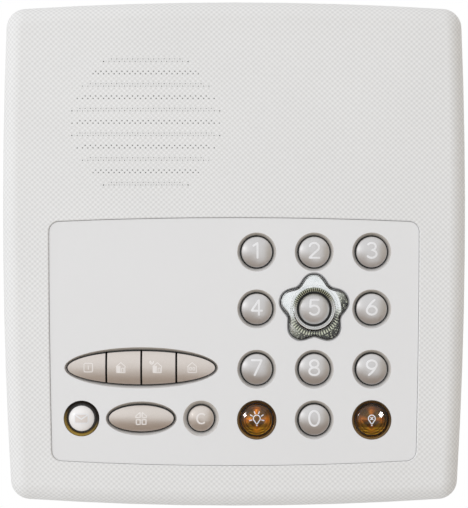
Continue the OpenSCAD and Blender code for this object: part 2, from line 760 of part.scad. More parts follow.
module home_key() color("#c3bbb4") upright() at(home_at) difference() {
    oval_key(home_w, home_h);
    difference() {
        plate(oval(home_w - 2 * cap_wall, home_h - 2 * cap_wall), key_seat - through, key_rim - cap_wall);
        for (side = [-1, 1])
            translate([side * home_dome_u, 0, 0]) rod(stem_r, key_seat - 2 * through, key_rim);
    }
}

module mode_key(i) color("#c3bbb4") upright() at(mode_at) intersection() {
    lap = oval_gap + flange_lap + through;
    low = i == 0 ? mode_ends[0] - lap : mode_ends[i] + mode_split / 2;
    high = i == 3 ? mode_ends[4] + lap : mode_ends[i + 1] - mode_split / 2;
    oval_key(mode_w, mode_h);
    translate([low, -mode_h, key_seat - through]) cube([high - low, 2 * mode_h, fascia_front]);
}

// Keymat: rubber sheet on the board with a hollow dome and a contact pill under every key
module keymat() color("#2b2b2d") upright() difference() {
    union() {
        difference() {
            union() {
                plate(outline(shrink(fascia, keymat_inset, 2), 0), board_front, board_front + keymat_t);
                for (p = dome_points) at(p, board_front + keymat_t)
                    cylinder(r1 = dome_r, r2 = dome_top_r, h = dome_h);
            }
            for (p = dome_points) at(p, board_front - 0.01)
                cylinder(r1 = dome_r - dome_wall, r2 = dome_top_r - dome_wall,
                         h = keymat_t + dome_h - dome_wall);
        }
        for (p = dome_points) at(p) rod(pill_r, board_front + key_travel, key_seat - dome_wall / 2);
    }
    for (p = led_points) at(p) block([led_size[0] + 0.6, led_size[1] + 0.6, 4], board_front - through);
}

// Circuit board with a hole for each of its screws
module main_board() color("#1f6b3a") upright() difference() {
    plate(outline(fascia, -board_overlap), board_back, board_front);
    for (p = board_boss_at) at(p) rod(pilot_r + 0.35, board_back - through, board_front + through);
}

module board_screws() color("#b8b8b8") upright()
    for (p = board_boss_at) at(p, board_back) screw(board_t + board_screw_l, head_r);

// Processor, audio amplifier and memory on the back of the board
chip_size = [[14, 14, 1.4], [8, 5, 1.6], [10, 6, 1.2]];
chip_at = [[18, fascia_bottom + 46.3], [-6, fascia_top - 20.7], [36, fascia_bottom + 46.3]];
module board_chips() color("#222222") upright()
    for (i = [0:2]) at(chip_at[i]) block(chip_size[i], board_back - chip_size[i][2]);

// Light-emitting diodes under the lobes of the star and under each amber ring
led_size = [3.2, 2.8, 1.9];
star_led_r = star_r - 1.8;
ring_led_drop = 6.6;
led_points = concat(
    [for (i = [0:4]) polar(star_at, star_led_r, 90 + 72 * i)],
    [for (p = [message_at, light_on_at, light_off_at]) p - [0, ring_led_drop]]);
module status_leds() color("#f4f0e0") upright() for (p = led_points) at(p) difference() {
    block(led_size, board_front);
    rod(1.1, board_front + led_size[2] - 0.4, board_front + led_size[2] + through);
}

// Sockets on the board for the speaker's and the battery's leads
module lead_sockets() color("#efe9d8") upright() for (u = lead_u) at([u, socket_v]) difference() {
    block(socket_size, board_back - socket_size[2]);
    for (side = [-1, 1])
        translate([side * wire_gap, 0, board_back - socket_size[2] / 2])
            rotate([90, 0, 0]) rod(wire_r + 0.1, -socket_size[1], -socket_size[1] / 2 + 2);
}

function terminal_u(i) = (i - (terminal_ways - 1) / 2) * terminal_pitch;
module terminal_block() color("#2f6e4f") upright() at(terminal_at) difference() {
    block(terminal_size, board_back - terminal_size[2]);
    for (i = [0:terminal_ways - 1]) translate([terminal_u(i), 0, 0]) {
        translate([0, 0, board_back - 4]) rotate([90, 0, 0]) rod(1.5, -terminal_size[1], 0);
        rod(1.9, board_back - terminal_size[2] - through, board_back - terminal_size[2] + 3);
    }
}

module terminal_screws() color("#b8b8b8") upright() at(terminal_at)
    for (i = [0:terminal_ways - 1]) translate([terminal_u(i), 0, 0]) difference() {
        rod(1.75, board_back - terminal_size[2] + 1, board_back - terminal_size[2] + 3);
        block([4, 0.5, 0.8], board_back - terminal_size[2] + 0.8);
    }

// Speaker: dust cloth, foam gasket, pressed frame, magnet, roll surround, and the cone with its voice coil
module speaker_cloth() color("#c8c8c6") upright() at(speaker_at)
    rod(speaker_r, inner_face - cloth_t, inner_face);

module speaker_gasket() color("#3a3a3a") upright() at(speaker_at)
    tube(speaker_r, surround_r, speaker_front, inner_face - cloth_t);

module speaker_frame() color("#8f9296") upright() at(speaker_at) {
    difference() {
        rotate_extrude() polygon([
            [speaker_r, speaker_front], [surround_r, speaker_front], [surround_r, speaker_flange_back],
            [basket_r - 0.6, basket_back + basket_t], [basket_hole_r, basket_back + basket_t],
            [basket_hole_r, basket_back], [basket_r, basket_back],
            [surround_r + 1, speaker_flange_back], [speaker_r, speaker_flange_back]]);
        for (a = [0, 90, 180, 270]) rotate(a)
            translate([basket_slot_r, 0, 0]) block(basket_slot, basket_back + basket_depth / 3);
    }
    at([speaker_tag_at[0], -speaker_tag_at[1]]) block(speaker_tag, speaker_flange_back - speaker_tag[2]);
}

module speaker_magnet() color("#4a4c50") upright() at(speaker_at) difference() {
    rod(magnet_r, basket_back - magnet_t, basket_back);
    difference() {
        rod(coil_gap_out, basket_back - magnet_t + magnet_floor, basket_back + through);
        rod(coil_gap_in, basket_back - magnet_t, basket_back + 2 * through);
    }
}

module speaker_surround() color("#1c1c1c") upright() at(speaker_at) {
    rise = 0.9;
    thick = 0.4;
    mid = (cone_r + surround_fit + surround_r - surround_fit) / 2;
    half = surround_r - surround_fit - mid;
    rotate_extrude() polygon(concat(
        [for (i = [0:12]) let (t = i * 15) [mid + half * cos(t), speaker_flange_back + 0.2 + rise * sin(t)]],
        [for (i = [0:12]) let (t = 180 - i * 15)
            [mid + (half - thick) * cos(t), speaker_flange_back + 0.2 + (rise - thick) * sin(t)]]));
}

module speaker_cone() color("#2a2a2c") upright() at(speaker_at) {
    rim_w = speaker_flange_back + 0.2;
    neck_w = rim_w - cone_depth;
    coil_end = basket_back - magnet_t + magnet_floor + 2 * cone_travel + 0.8;
    rotate_extrude() polygon([
        [coil_r, coil_end], [coil_r + coil_t, coil_end], [coil_r + coil_t, neck_w],
        [cone_r - 0.8, rim_w - 0.5], [cone_r, rim_w - 0.5], [cone_r, rim_w], [cone_r - 1, rim_w],
        [coil_r + coil_t, neck_w + 0.7], [5, neck_w + 2], [2.5, neck_w + 2.6], [0, neck_w + 2.8],
        [0, neck_w + 2.3], [2.5, neck_w + 2.1], [4.8, neck_w + 1.5], [coil_r, neck_w + 0.2]]);
}

module speaker_screws() color("#b8b8b8") upright() at(speaker_at)
    for (a = speaker_screw_angles)
        at(polar([0, 0], speaker_screw_r, a), speaker_flange_back) screw(speaker_screw_l, speaker_washer_r);

// Leads: two wires each, along points given as v and w from the lead's two ends
socket_end = [socket_v + socket_size[1] / 2 + wire_end_gap, board_back - socket_size[2] / 2];
tag_end = [speaker_at[1] - speaker_tag_at[1], speaker_flange_back - speaker_tag[2] - wire_end_gap];
pack_end = [battery_at[1] - cell_l / 2 - wire_end_gap, wall + cell_gap + cell_r];
speaker_lead_route = [tag_end, tag_end - [0, 1.6], tag_end - [0.5, 3.2], tag_end - [2, 4.8],
                      socket_end + [9.5, -0.8], socket_end + [6.5, -0.9], socket_end + [4, -0.5],
                      socket_end + [1.9, 0], socket_end];
battery_lead_route = [pack_end, pack_end - [3, 0], pack_end + [-5.8, 1.4], pack_end + [-7.8, 4.4],
                      socket_end + [6.6, -10], socket_end + [5.6, -6], socket_end + [4.3, -2.6],
                      socket_end + [2.2, -0.4], socket_end];
module lead(route, u) for (side = [-1, 1])
    wire([for (p = route) [u + side * wire_gap, p[0], p[1]]], wire_r);
module speaker_lead() color("#303030") upright() lead(speaker_lead_route, lead_u[0]);
module battery_lead() color("#a02020") upright() lead(battery_lead_route, lead_u[1]);

// Backup battery: cells side by side under a clamp
module battery_pack() color("#3b6fb5") upright() at(battery_at)
    for (i = [0:cell_count - 1])
        translate([(i - (cell_count - 1) / 2) * cell_pitch, 0, wall + cell_gap + cell_r]) rotate([90, 0, 0]) {
            rod(cell_r, -cell_l / 2, cell_l / 2 - 1);
            rod(2.7, cell_l / 2 - 2, cell_l / 2);
        }

module battery_clamp() color("#d8d6d2") upright() at(battery_at) difference() {
    block([2 * (clamp_post_u + clamp_post_r), clamp_w, clamp_t], battery_top);
    for (side = [-1, 1]) translate([side * clamp_post_u, 0, 0])
        rod(pilot_r + 0.3, battery_top - through, battery_top + clamp_t + through);
}

module clamp_screws() color("#b8b8b8") upright() at(battery_at)
    for (side = [-1, 1]) translate([side * clamp_post_u, 0, battery_top + clamp_t])
        rotate([180, 0, 0]) screw(clamp_t + clamp_screw_l, head_r);

// Tamper switch: a spring on the plunger presses the switch while the panel is on its wall
module tamper_switch() color("#202020") upright() at(tamper_at) {
    block([6.2, 6.2, tamper_switch_h], board_back - tamper_switch_h);
    rod(2.7, board_back - tamper_switch_h - tamper_button_h, board_back - tamper_switch_h + press);
}

tamper_collar = guide_h + tamper_travel;
module tamper_plunger() color("#e8e6e0") upright() at(tamper_at) {
    rod(tamper_r, 0.05, tamper_collar + press);
    rod(tamper_collar_r, tamper_collar, tamper_collar + tamper_collar_t);
    rod(1.3, tamper_collar, tamper_collar + tamper_collar_t + 5);
}

spring_low = tamper_collar + tamper_collar_t + spring_wire_r;
spring_high = board_back - tamper_switch_h - tamper_button_h - spring_wire_r;
module tamper_spring() color("#c8c8c8") upright() at(tamper_at) {
    steps = spring_turns * 16;
    echo(least_gap_between_turns = (spring_high - spring_low) / spring_turns - 2 * spring_wire_r);
    coil([for (i = [0:steps]) let (a = i * 360 / 16)
        [spring_r * cos(a), spring_r * sin(a), spring_low + (spring_high - spring_low) * i / steps]]);
}

// A tube of six sides along a helix about w
module coil(path) {
    n = len(path);
    sides = 6;
    points = [for (p = path) let (out = [p[0], p[1], 0] / norm([p[0], p[1]])) for (k = [0:sides - 1])
        p + spring_wire_r * (cos(k * 60) * out + sin(k * 60) * [0, 0, 1])];
    polyhedron(points = points, faces = concat(
        [[for (k = [0:sides - 1]) sides - 1 - k]], [[for (k = [0:sides - 1]) (n - 1) * sides + k]],
        [for (i = [0:n - 2]) for (k = [0:sides - 1])
            let (a = i * sides + k, b = i * sides + (k + 1) % sides, c = b + sides, d = a + sides)
            each [[a, b, c], [a, c, d]]]));
}

module cover_screws() color("#b8b8b8") upright() for (side = [-1, 1])
    translate([side * cover_screw_u, cover_head_v(), cover_screw_w])
        rotate([-90, 0, 0]) screw(cover_screw_l, head_r);

rear_cover();
front_cover();
keypad_fascia();
star_lens();
star_insert();
message_ring();
light_ring(light_on_at);  // light_on_ring
light_ring(light_off_at);  // light_off_ring
for (digit = [0:9]) number_key(digit);
for (i = [0:3]) mode_key(i);
light_key(light_on_at);  // light_on_key
light_key(light_off_at);  // light_off_key
home_key();
clear_key();
message_key();
keymat();
main_board();
board_screws();
board_chips();
status_leds();
lead_sockets();
terminal_block();
terminal_screws();
speaker_cloth();
speaker_gasket();
speaker_frame();
speaker_magnet();
speaker_surround();
speaker_cone();
speaker_screws();
speaker_lead();
battery_pack();
battery_clamp();
clamp_screws();
battery_lead();
tamper_switch();
tamper_spring();
tamper_plunger();
cover_screws();
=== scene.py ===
# An alarm keypad panel for a wall: white covers with a dimpled grain, a smooth fascia, silver and champagne
# keys, amber light keys and a clear star round the middle key. Pieces are shaped flat in millimetres, with u to
# the right, v up and w out from the wall, and then stood upright in metres.
from math import asin, cos, hypot, pi, radians, sin, sqrt

import bmesh
import bpy
from mathutils import Matrix


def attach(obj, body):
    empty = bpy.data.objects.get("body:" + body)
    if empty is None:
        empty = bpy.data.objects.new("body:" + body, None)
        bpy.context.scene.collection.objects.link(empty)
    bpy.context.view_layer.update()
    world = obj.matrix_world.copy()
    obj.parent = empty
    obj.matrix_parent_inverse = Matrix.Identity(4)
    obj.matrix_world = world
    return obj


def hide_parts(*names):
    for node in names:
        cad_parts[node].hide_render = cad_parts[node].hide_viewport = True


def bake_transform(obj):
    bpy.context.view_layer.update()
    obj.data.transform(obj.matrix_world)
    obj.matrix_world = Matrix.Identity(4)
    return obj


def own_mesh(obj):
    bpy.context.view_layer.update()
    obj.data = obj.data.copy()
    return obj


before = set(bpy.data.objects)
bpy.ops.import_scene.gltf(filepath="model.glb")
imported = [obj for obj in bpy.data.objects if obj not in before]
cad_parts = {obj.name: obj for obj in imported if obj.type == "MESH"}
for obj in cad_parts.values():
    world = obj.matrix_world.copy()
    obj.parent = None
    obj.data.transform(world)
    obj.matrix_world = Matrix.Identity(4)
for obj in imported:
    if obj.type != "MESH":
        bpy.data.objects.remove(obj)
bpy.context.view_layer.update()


# Rear cover: the shallow tray that is screwed to the wall. It is moulded in white plastic in a spark-eroded
# mould, with a bevel round the back and a lip inside that the front cover slides over.
WELD = 0.000004
SAME_LEVEL = 0.000003
SQUARE_ON = 0.94


def colour(code):
    """A colour written as a web code, as the shader takes it."""
    parts = [int(code[i:i + 2], 16) / 255 for i in (1, 3, 5)]
    return (*[p / 12.92 if p <= 0.04045 else ((p + 0.055) / 1.055) ** 2.4 for p in parts], 1.0)


class Value:
    """A socket of a finish, so that its maths is written as expressions."""

    def __init__(self, finish, socket):
        self.finish = finish
        self.socket = socket

    def math(self, operation, *terms):
        return self.finish.node("ShaderNodeMath", {"operation": operation}, dict(enumerate(terms)))

    def __add__(self, other):
        return self.math("ADD", self, other)

    def __sub__(self, other):
        return self.math("SUBTRACT", self, other)

    def __rsub__(self, other):
        return self.math("SUBTRACT", other, self)

    def __mul__(self, other):
        return self.math("MULTIPLY", self, other)

    def __truediv__(self, other):
        return self.math("DIVIDE", self, other)

    __radd__ = __add__
    __rmul__ = __mul__

    def cosine(self):
        return self.math("COSINE", self)

    def root(self):
        return self.math("SQRT", self)

    def size(self):
        return self.math("ABSOLUTE", self)

    def turned(self, across):
        return self.math("ARCTAN2", self, across)

    def clamped(self):
        return self.math("MINIMUM", self.math("MAXIMUM", self, 0.0), 1.0)


class Finish:
    """A material with a Principled shader, fed with plain values or with what its nodes work out."""

    def __init__(self, name, inputs):
        self.material = bpy.data.materials.new(name)
        self.material.use_nodes = True
        self.tree = self.material.node_tree
        self.shader = self.tree.nodes["Principled BSDF"]
        self.feed(inputs)

    def plug(self, socket, value):
        if isinstance(value, Value):
            self.tree.links.new(value.socket, socket)
        else:
            socket.default_value = value

    def feed(self, inputs):
        for key, value in inputs.items():
            self.plug(self.shader.inputs[key], value)

    def node(self, kind, settings, sockets, out=0):
        made = self.tree.nodes.new(kind)
        for key, value in settings.items():
            setattr(made, key, value)
        for key, value in sockets.items():
            self.plug(made.inputs[key], value)
        return Value(self, made.outputs[out])

    def place(self):
        return self.node("ShaderNodeTexCoord", {}, {}, "Object")

    def axis(self, letter):
        return self.node("ShaderNodeSeparateXYZ", {}, {"Vector": self.place()}, letter)

    def mottle(self, per_metre, detail=2.0):
        return self.node("ShaderNodeTexNoise", {},
                         {"Vector": self.place(), "Scale": per_metre, "Detail": detail}, "Fac")

    def between(self, factor, low, high):
        return self.node("ShaderNodeMix", {"data_type": "RGBA"}, {0: factor, 6: low, 7: high}, 2)

    def relief(self, height, depth):
        self.feed({"Normal": self.node("ShaderNodeBump", {}, {"Height": height, "Distance": depth})})


def moulded(name, light, dark, roughness, grain_per_metre, grain_depth):
    """Moulded plastic or rubber: faint clouds of colour and gloss over the fine texture of its mould."""
    finish = Finish(name, {})
    cloud = finish.mottle(60.0, 3.0)
    fine = finish.mottle(grain_per_metre)
    finish.feed({"Base Color": finish.between(cloud, colour(dark), colour(light)),
                 "Roughness": roughness + 0.12 * (fine - 0.5)})
    finish.relief(fine, grain_depth)
    return finish


def merged(node):
    """A copy of a CAD node's loose triangles, joined where they meet."""
    bm = bmesh.new()
    bm.from_mesh(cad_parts[node].data)
    bmesh.ops.remove_doubles(bm, verts=bm.verts, dist=WELD)
    return bm


def fitted(bm, name, finish, body, nodes, sharp=38):
    """The finished piece: smooth but for its sharp edges, riding on its body in place of the CAD nodes."""
    mesh = bpy.data.meshes.new(name)
    bm.to_mesh(mesh)
    bm.free()
    mesh.shade_smooth()
    mesh.set_sharp_from_angle(angle=radians(sharp))
    mesh.materials.append(finish.material)
    piece = bpy.data.objects.new(name, mesh)
    bpy.context.scene.collection.objects.link(piece)
    if body:
        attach(piece, body)
    if nodes:
        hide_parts(*nodes)
    return piece


def levelled(piece, level, facing):
    """Shades the flat face at a level along Y dead flat, right up to the rounded edges beside it."""
    flat = (0.0, facing, 0.0)
    normals = []
    for face in piece.data.polygons:
        lying = [abs(piece.data.vertices[i].co.y - level) < SAME_LEVEL for i in face.vertices]
        square = face.normal.y * facing > SQUARE_ON or all(lying)
        normals += [flat if square and low else (0, 0, 0) for low in lying]
    piece.data.normals_split_custom_set(normals)


rear_plastic = moulded("rear_plastic", "#E9E8E5", "#E1E0DC", 0.52, 2600.0, 0.00003)
rear = fitted(merged("rear_cover"), "rear_shell", rear_plastic, "housing", ["rear_cover"])
levelled(rear, 0.0, 1.0)


# Tamper plunger with its spring and switch: a nylon pin that the wall pushes in against a steel spring, so that
# the switch on the board opens when the panel is taken off its wall. The pin's collar stands a hair off the cover.
COLLAR_FOOT = 11.0
COLLAR_EASE = 0.03
NEAR = 0.01


def steel(name, tint, roughness):
    """Bright plated steel with faint drawing marks."""
    finish = Finish(name, {"Metallic": 1.0})
    marks = finish.mottle(1800.0, 3.0)
    finish.feed({"Base Color": finish.between(marks, colour("#8E8C88"), colour(tint)),
                 "Roughness": roughness + 0.15 * (marks - 0.5)})
    finish.relief(marks, 0.00001)
    return finish


def painted(nodes, finish):
    """Gives CAD nodes whose shape is right their finish."""
    for node in nodes:
        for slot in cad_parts[node].material_slots:
            slot.material = finish.material


spring_steel = steel("spring_steel", "#D9D8D5", 0.25)
plunger_nylon = moulded("plunger_nylon", "#EDEBE4", "#E2DFD6", 0.45, 1500.0, 0.00002)
switch_resin = moulded("switch_resin", "#2A2A2B", "#1A1A1B", 0.5, 3000.0, 0.00002)
painted(["tamper_switch"], switch_resin)
coil = merged("tamper_spring")
spring_ends = [pick(spot.co.y for spot in coil.verts) for pick in (min, max)]
spring = fitted(coil, "tamper_coil", spring_steel, None, ["tamper_spring"])
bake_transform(spring)
pin = merged("tamper_plunger")
for spot in pin.verts:
    if abs(1000 * spot.co.y + COLLAR_FOOT) < NEAR:
        spot.co.y -= COLLAR_EASE / 1000
fitted(pin, "tamper_pin", plunger_nylon, "tamper_plunger", ["tamper_plunger"])


# Backup battery: four cells shrink-wrapped side by side in blue film, held in the rear cover's ribs by a nylon
# clamp with two screws. Its red lead runs up to a socket on the circuit board.
cell_film = moulded("cell_film", "#4A7FC4", "#3566A6", 0.32, 900.0, 0.00002)
clamp_nylon = moulded("clamp_nylon", "#DEDCD7", "#CFCCC5", 0.5, 1500.0, 0.00002)
zinc = steel("zinc_plate", "#C9CACB", 0.34)
red_sheath = moulded("red_sheath", "#B02A26", "#95201D", 0.45, 2500.0, 0.00001)
painted(["battery_clamp"], clamp_nylon)
painted(["clamp_screws"], zinc)
fitted(merged("battery_pack"), "battery_cells", cell_film, "housing", ["battery_pack"])
fitted(merged("battery_lead"), "battery_wires", red_sheath, "housing", ["battery_lead"], sharp=60)


# Circuit board with its chips, diodes, sockets and terminal block: glass laminate under green solder mask, with
# the copper tracks showing through, screwed to bosses inside the front cover.
board_mask = Finish("board_mask", {"Roughness": 0.36, "Coat Weight": 0.3})
tracks = board_mask.node("ShaderNodeTexBrick", {"offset": 0.5, "squash": 0.6},
                         {"Vector": board_mask.place(), "Scale": 170.0, "Mortar Size": 0.05,
                          "Mortar Smooth": 0.2, "Brick Width": 0.9, "Row Height": 0.22}, "Fac")
board_mask.feed({"Base Color": board_mask.between(tracks, colour("#1B5C33"), colour("#3C8A55"))})
board_mask.relief(tracks, 0.00004)
chip_resin = moulded("chip_resin", "#2B2B2C", "#1D1D1E", 0.55, 3500.0, 0.00002)
diode_resin = moulded("diode_resin", "#F6F1DC", "#E9E1C2", 0.25, 1200.0, 0.00001)
socket_nylon = moulded("socket_nylon", "#EFE9D8", "#E0D9C4", 0.42, 1500.0, 0.00002)
terminal_nylon = moulded("terminal_nylon", "#3A7D5B", "#2A6548", 0.45, 1500.0, 0.00002)
painted(["main_board"], board_mask)
painted(["board_chips"], chip_resin)
painted(["status_leds"], diode_resin)
painted(["lead_sockets"], socket_nylon)
painted(["terminal_block"], terminal_nylon)
painted(["terminal_screws", "board_screws"], zinc)


# Keymat: one black silicone sheet on the board, moulded with a hollow dome and a carbon pill under every key.
# It springs the keys back and closes the gaps round them to a deep black.
MAT_TOP = 33.2
MAT_CUT = MAT_TOP + 0.01
DOME_TOP = 35.78
BELL = [(0, DOME_TOP), (2.8, DOME_TOP), (3.0, DOME_TOP - 0.2), (4.5, MAT_CUT), (3.2, MAT_CUT), (2.1, 34.9),
        (1.5, 34.8), (1.5, 33.4), (0, 33.4)]
SPIN_STEPS = 72
UPRIGHT = Matrix.Rotation(radians(90), 4, "X") @ Matrix.Scale(0.001, 4)


def everything(bm):
    return bm.verts[:] + bm.edges[:] + bm.faces[:]


def turned(profile):
    """A round piece, spun from its half section of radius and level."""
    bm = bmesh.new()
    spots = [bm.verts.new((r, 0, w)) for r, w in profile]
    line = [bm.edges.new(pair) for pair in zip(spots, spots[1:])]
    bmesh.ops.spin(bm, geom=spots + line, cent=(0, 0, 0), axis=(0, 0, 1), angle=2 * pi, steps=SPIN_STEPS,
                   use_merge=True)
    bmesh.ops.remove_doubles(bm, verts=bm.verts, dist=0.001)
    bmesh.ops.recalc_face_normals(bm, faces=bm.faces)
    return bm


def stood(bm, place):
    """Moves a piece that is shaped flat to its place on the panel and stands it upright."""
    bmesh.ops.translate(bm, vec=(*place, 0), verts=bm.verts)
    bmesh.ops.transform(bm, matrix=UPRIGHT, verts=bm.verts)
    return bm


def sprung(key, place, name="_rubber"):
    """The dome under a key, on the keymat sheet, riding on the housing."""
    piece = fitted(stood(turned(BELL), place), key + name, silicone, "housing", [])
    key + "_press"
    place[0] / 1000
    place[1] / 1000
    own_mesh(piece)


silicone = moulded("keymat_silicone", "#1D1D1F", "#121213", 0.6, 2200.0, 0.00002)
backing = merged("keymat")
bmesh.ops.bisect_plane(backing, geom=everything(backing), dist=0.000001, plane_co=(0, -MAT_CUT / 1000, 0),
                       plane_no=(0, -1, 0), clear_outer=True)
open_edges = [edge for edge in backing.edges if edge.is_boundary]
bmesh.ops.triangle_fill(backing, edges=open_edges, use_beauty=True, normal=(0, -1, 0))
fitted(backing, "keymat_sheet", silicone, "housing", ["keymat"], sharp=50)


# Speaker: a paper cone on a rubber surround in a pressed steel frame, with a ferrite magnet behind, and a foam
# gasket and a thin dust cloth in front. Three screws clamp it behind the perforated field.
THREADS = 9000.0
basket_steel = steel("basket_steel", "#A9ABAE", 0.4)
ferrite = moulded("ferrite", "#55575B", "#3F4144", 0.6, 1800.0, 0.00003)
foam = moulded("gasket_foam", "#3E3E3F", "#2A2A2B", 0.9, 1400.0, 0.00012)
surround_rubber = moulded("surround_rubber", "#232324", "#181819", 0.5, 1600.0, 0.00002)
cone_paper = moulded("cone_paper", "#34332F", "#242320", 0.85, 700.0, 0.00008)
black_sheath = moulded("black_sheath", "#333334", "#222223", 0.45, 2500.0, 0.00001)
weave = Finish("dust_cloth", {"Roughness": 0.9})
threads = (THREADS * weave.axis("X")).cosine() * (THREADS * weave.axis("Z")).cosine()
weave.feed({"Base Color": weave.between(0.5 + 0.5 * threads, colour("#D2D2CF"), colour("#EAEAE8"))})
weave.relief(threads, 0.00005)
cloth = fitted(merged("speaker_cloth"), "dust_cloth", weave, "housing", ["speaker_cloth"])
painted(["speaker_frame"], basket_steel)
painted(["speaker_magnet"], ferrite)
painted(["speaker_screws"], zinc)
gasket = fitted(merged("speaker_gasket"), "gasket_ring", foam, "housing", ["speaker_gasket"])
fitted(merged("speaker_surround"), "surround_roll", surround_rubber, "housing",
       ["speaker_surround"])
fitted(merged("speaker_cone"), "paper_cone", cone_paper, "speaker_cone", ["speaker_cone"])
fitted(merged("speaker_lead"), "speaker_wires", black_sheath, "housing", ["speaker_lead"],
       sharp=60)


# Front cover: one white moulding with a rounded front edge. A fine staggered grain of dimples runs over its face
# and round its edges. In the round field over the speaker, rows of them are pierced by holes that narrow inwards.
FACE = 40.0
EDGE = 6.0
ON_FACE = 0.001
LEAST_LEAN = 0.05
GRAIN_U = 1.85
GRAIN_V = 1.736
GRAIN_DEPTH = 0.00009
GRAIN_AT = (-31.0, 46.389)
GRILLE_R = 27.5
GRILLE_SKIN = 0.8
SLOT_PITCH = 4.34
HOLE_ROW = 0.88
HOLE_R = 0.27
HOLE_DRAFT = 0.92


def unrolled(point, normal):
    """Where a point of the cover lies once the rounded edge and the sides are rolled out flat, in mm."""
    u, v, depth = point.x * 1000, point.z * 1000, max(0.0, FACE + point.y * 1000)
    out = hypot(normal.x, normal.z)
    if depth < ON_FACE or out < LEAST_LEAN:
        return u, v
    bend = asin(min(1.0, sqrt(min(1.0, depth / (2 * EDGE))))) * 2 if depth < EDGE else pi / 2
    reach = EDGE * (bend - sin(bend)) + max(0.0, depth - EDGE)
    return u + normal.x / out * reach, v + normal.z / out * reach


cover_plastic = Finish("cover_plastic", {})
flat = cover_plastic.node("ShaderNodeUVMap", {"uv_map": "grain"}, {})
across = cover_plastic.node("ShaderNodeSeparateXYZ", {}, {"Vector": flat}, "X")
along = cover_plastic.node("ShaderNodeSeparateXYZ", {}, {"Vector": flat}, "Y")
dimples = ((2 * pi / GRAIN_U * (across - GRAIN_AT[0])).cosine()
           * (2 * pi / GRAIN_V * (along - GRAIN_AT[1] + GRAIN_V / 4)).cosine())
speck = cover_plastic.mottle(3000.0)
cloud = cover_plastic.mottle(25.0, 3.0)
# Random clouds of tone, and painted shade that darkens the bottoms of the dimples.
cloud_and_dimple_shade = (0.5 + 0.5 * dimples + 0.3 * (cloud - 0.5)).clamped()
cover_plastic.feed({"Base Color": cover_plastic.between(cloud_and_dimple_shade, colour("#F1F1F1"), colour("#DADADA")),
                    "Roughness": 0.55 + 0.1 * (speck - 0.5) + 0.05 * dimples})
cover_plastic.relief(0.12 * speck - 0.5 * dimples, GRAIN_DEPTH)

shell = merged("front_cover")
for spot in shell.verts:
    u, v = 1000 * spot.co.x - GRAIN_AT[0], 1000 * spot.co.z - GRAIN_AT[1]
    if hypot(u, v) < GRILLE_R and abs(1000 * spot.co.y + FACE - GRILLE_SKIN) < NEAR:
        row = SLOT_PITCH * round(v / SLOT_PITCH)
        side = 0.5 if v > row else 0.0
        middle = (GRAIN_U * (round(u / GRAIN_U - side) + side), row + HOLE_ROW * (side - 0.25) * 2)
        if hypot(u - middle[0], v - middle[1]) < HOLE_R + 2 * NEAR:
            spot.co.x += (middle[0] - u) * HOLE_DRAFT / 1000
            spot.co.z += (middle[1] - v) * HOLE_DRAFT / 1000
shell.normal_update()
grain = shell.loops.layers.uv.new("grain")
for face in shell.faces:
    for corner in face.loops:
        corner[grain].uv = unrolled(corner.vert.co, corner.vert.normal)
cover = fitted(shell, "front_shell", cover_plastic, "housing", ["front_cover"])
levelled(cover, -FACE / 1000, -1.0)


# Cover screws: two pan heads in counterbores under the bottom edge, which hold the front cover to the rear one.
# They are plated steel with a cross slot.
painted(["cover_screws"], zinc)


# Fascia: a smooth satin plate, a shade cooler than the cover, that lies in a pocket of the cover. A flared well
# is moulded round every key, with painted shade in it, darkest under its upper edge. The plate stands a hair below
# the cover.
FASCIA_FACE = 39.4
FLARE_FOOT = 38.2
FLARE_KNEE = 38.8
FLARE_DEEPER = 0.8
FACING_OUT = -0.1
PAINTED_SHADE = 0.55
PAINTED_SHADE_ABOVE = 0.45
fascia_satin = Finish("fascia_satin", {})
drift = fascia_satin.mottle(18.0, 3.0)
peel = fascia_satin.mottle(700.0)
painted_well_shade = fascia_satin.node("ShaderNodeAttribute", {"attribute_name": "well"}, {}, "Fac")
clean = fascia_satin.between(drift, colour("#E4E4E5"), colour("#E8E8E9"))
fascia_satin.feed({"Base Color": fascia_satin.between(painted_well_shade, clean, colour("#C9C1B6")),
                   "Roughness": 0.42 + 0.08 * (peel - 0.5)})
fascia_satin.relief(peel, 0.000008)
blank = merged("keypad_fascia")
well = blank.loops.layers.float.new("well")
# Painted shade: the flares of the wells get a darker colour, most where they face down under the upper edge.
for level, share in ((FLARE_FOOT, 1.0), (FLARE_KNEE, 0.5)):
    for spot in [vert for vert in blank.verts if abs(1000 * vert.co.y + level) < NEAR]:
        spot.co.y += share * FLARE_DEEPER / 1000
        for face in spot.link_faces:
            for corner in face.loops if face.normal.y < FACING_OUT else ():
                corner[well] = PAINTED_SHADE - PAINTED_SHADE_ABOVE * face.normal.z
plate = fitted(blank, "fascia_plate", fascia_satin, "housing", ["keypad_fascia"], sharp=20)
levelled(plate, -FASCIA_FACE / 1000, -1.0)


# Star round the middle key: a plated insert with a raised collar, a ring of fine teeth and five swelling lobes,
# under a clear moulded cap that drops into a star-shaped hole in the fascia. The cap's sides are black, as painted
# shadow in the gap round the star, and the plating carries painted shade and painted reflection.
STAR_AT = (28.2, -19.32)
STAR_R = 10.86
STAR_SWELL = 1.35
STAR_INSET = 0.26
TEETH = 60
TEETH_R = 8.5
TOOTH = 0.12
INNER_TEETH = 6.8
OUTER_TEETH = 8.6
CRESCENT_R = 7.75
LOBE_R = 9.3
LOBE_TOP = 38.95
LOBE_DROP = 0.5
LOBE_LOOPS = 8


def loop_of(radius_at, level_at):
    """Points round an axis, four to a tooth, each at the radius and the level that belong to its turn."""
    turns = [(i, pi * i / (2 * TEETH)) for i in range(4 * TEETH)]
    return [(radius_at(a) * cos(a), radius_at(a) * sin(a), level_at(i)) for i, a in turns]


def ring(radius, level):
    return loop_of(lambda a: radius, lambda i: level)


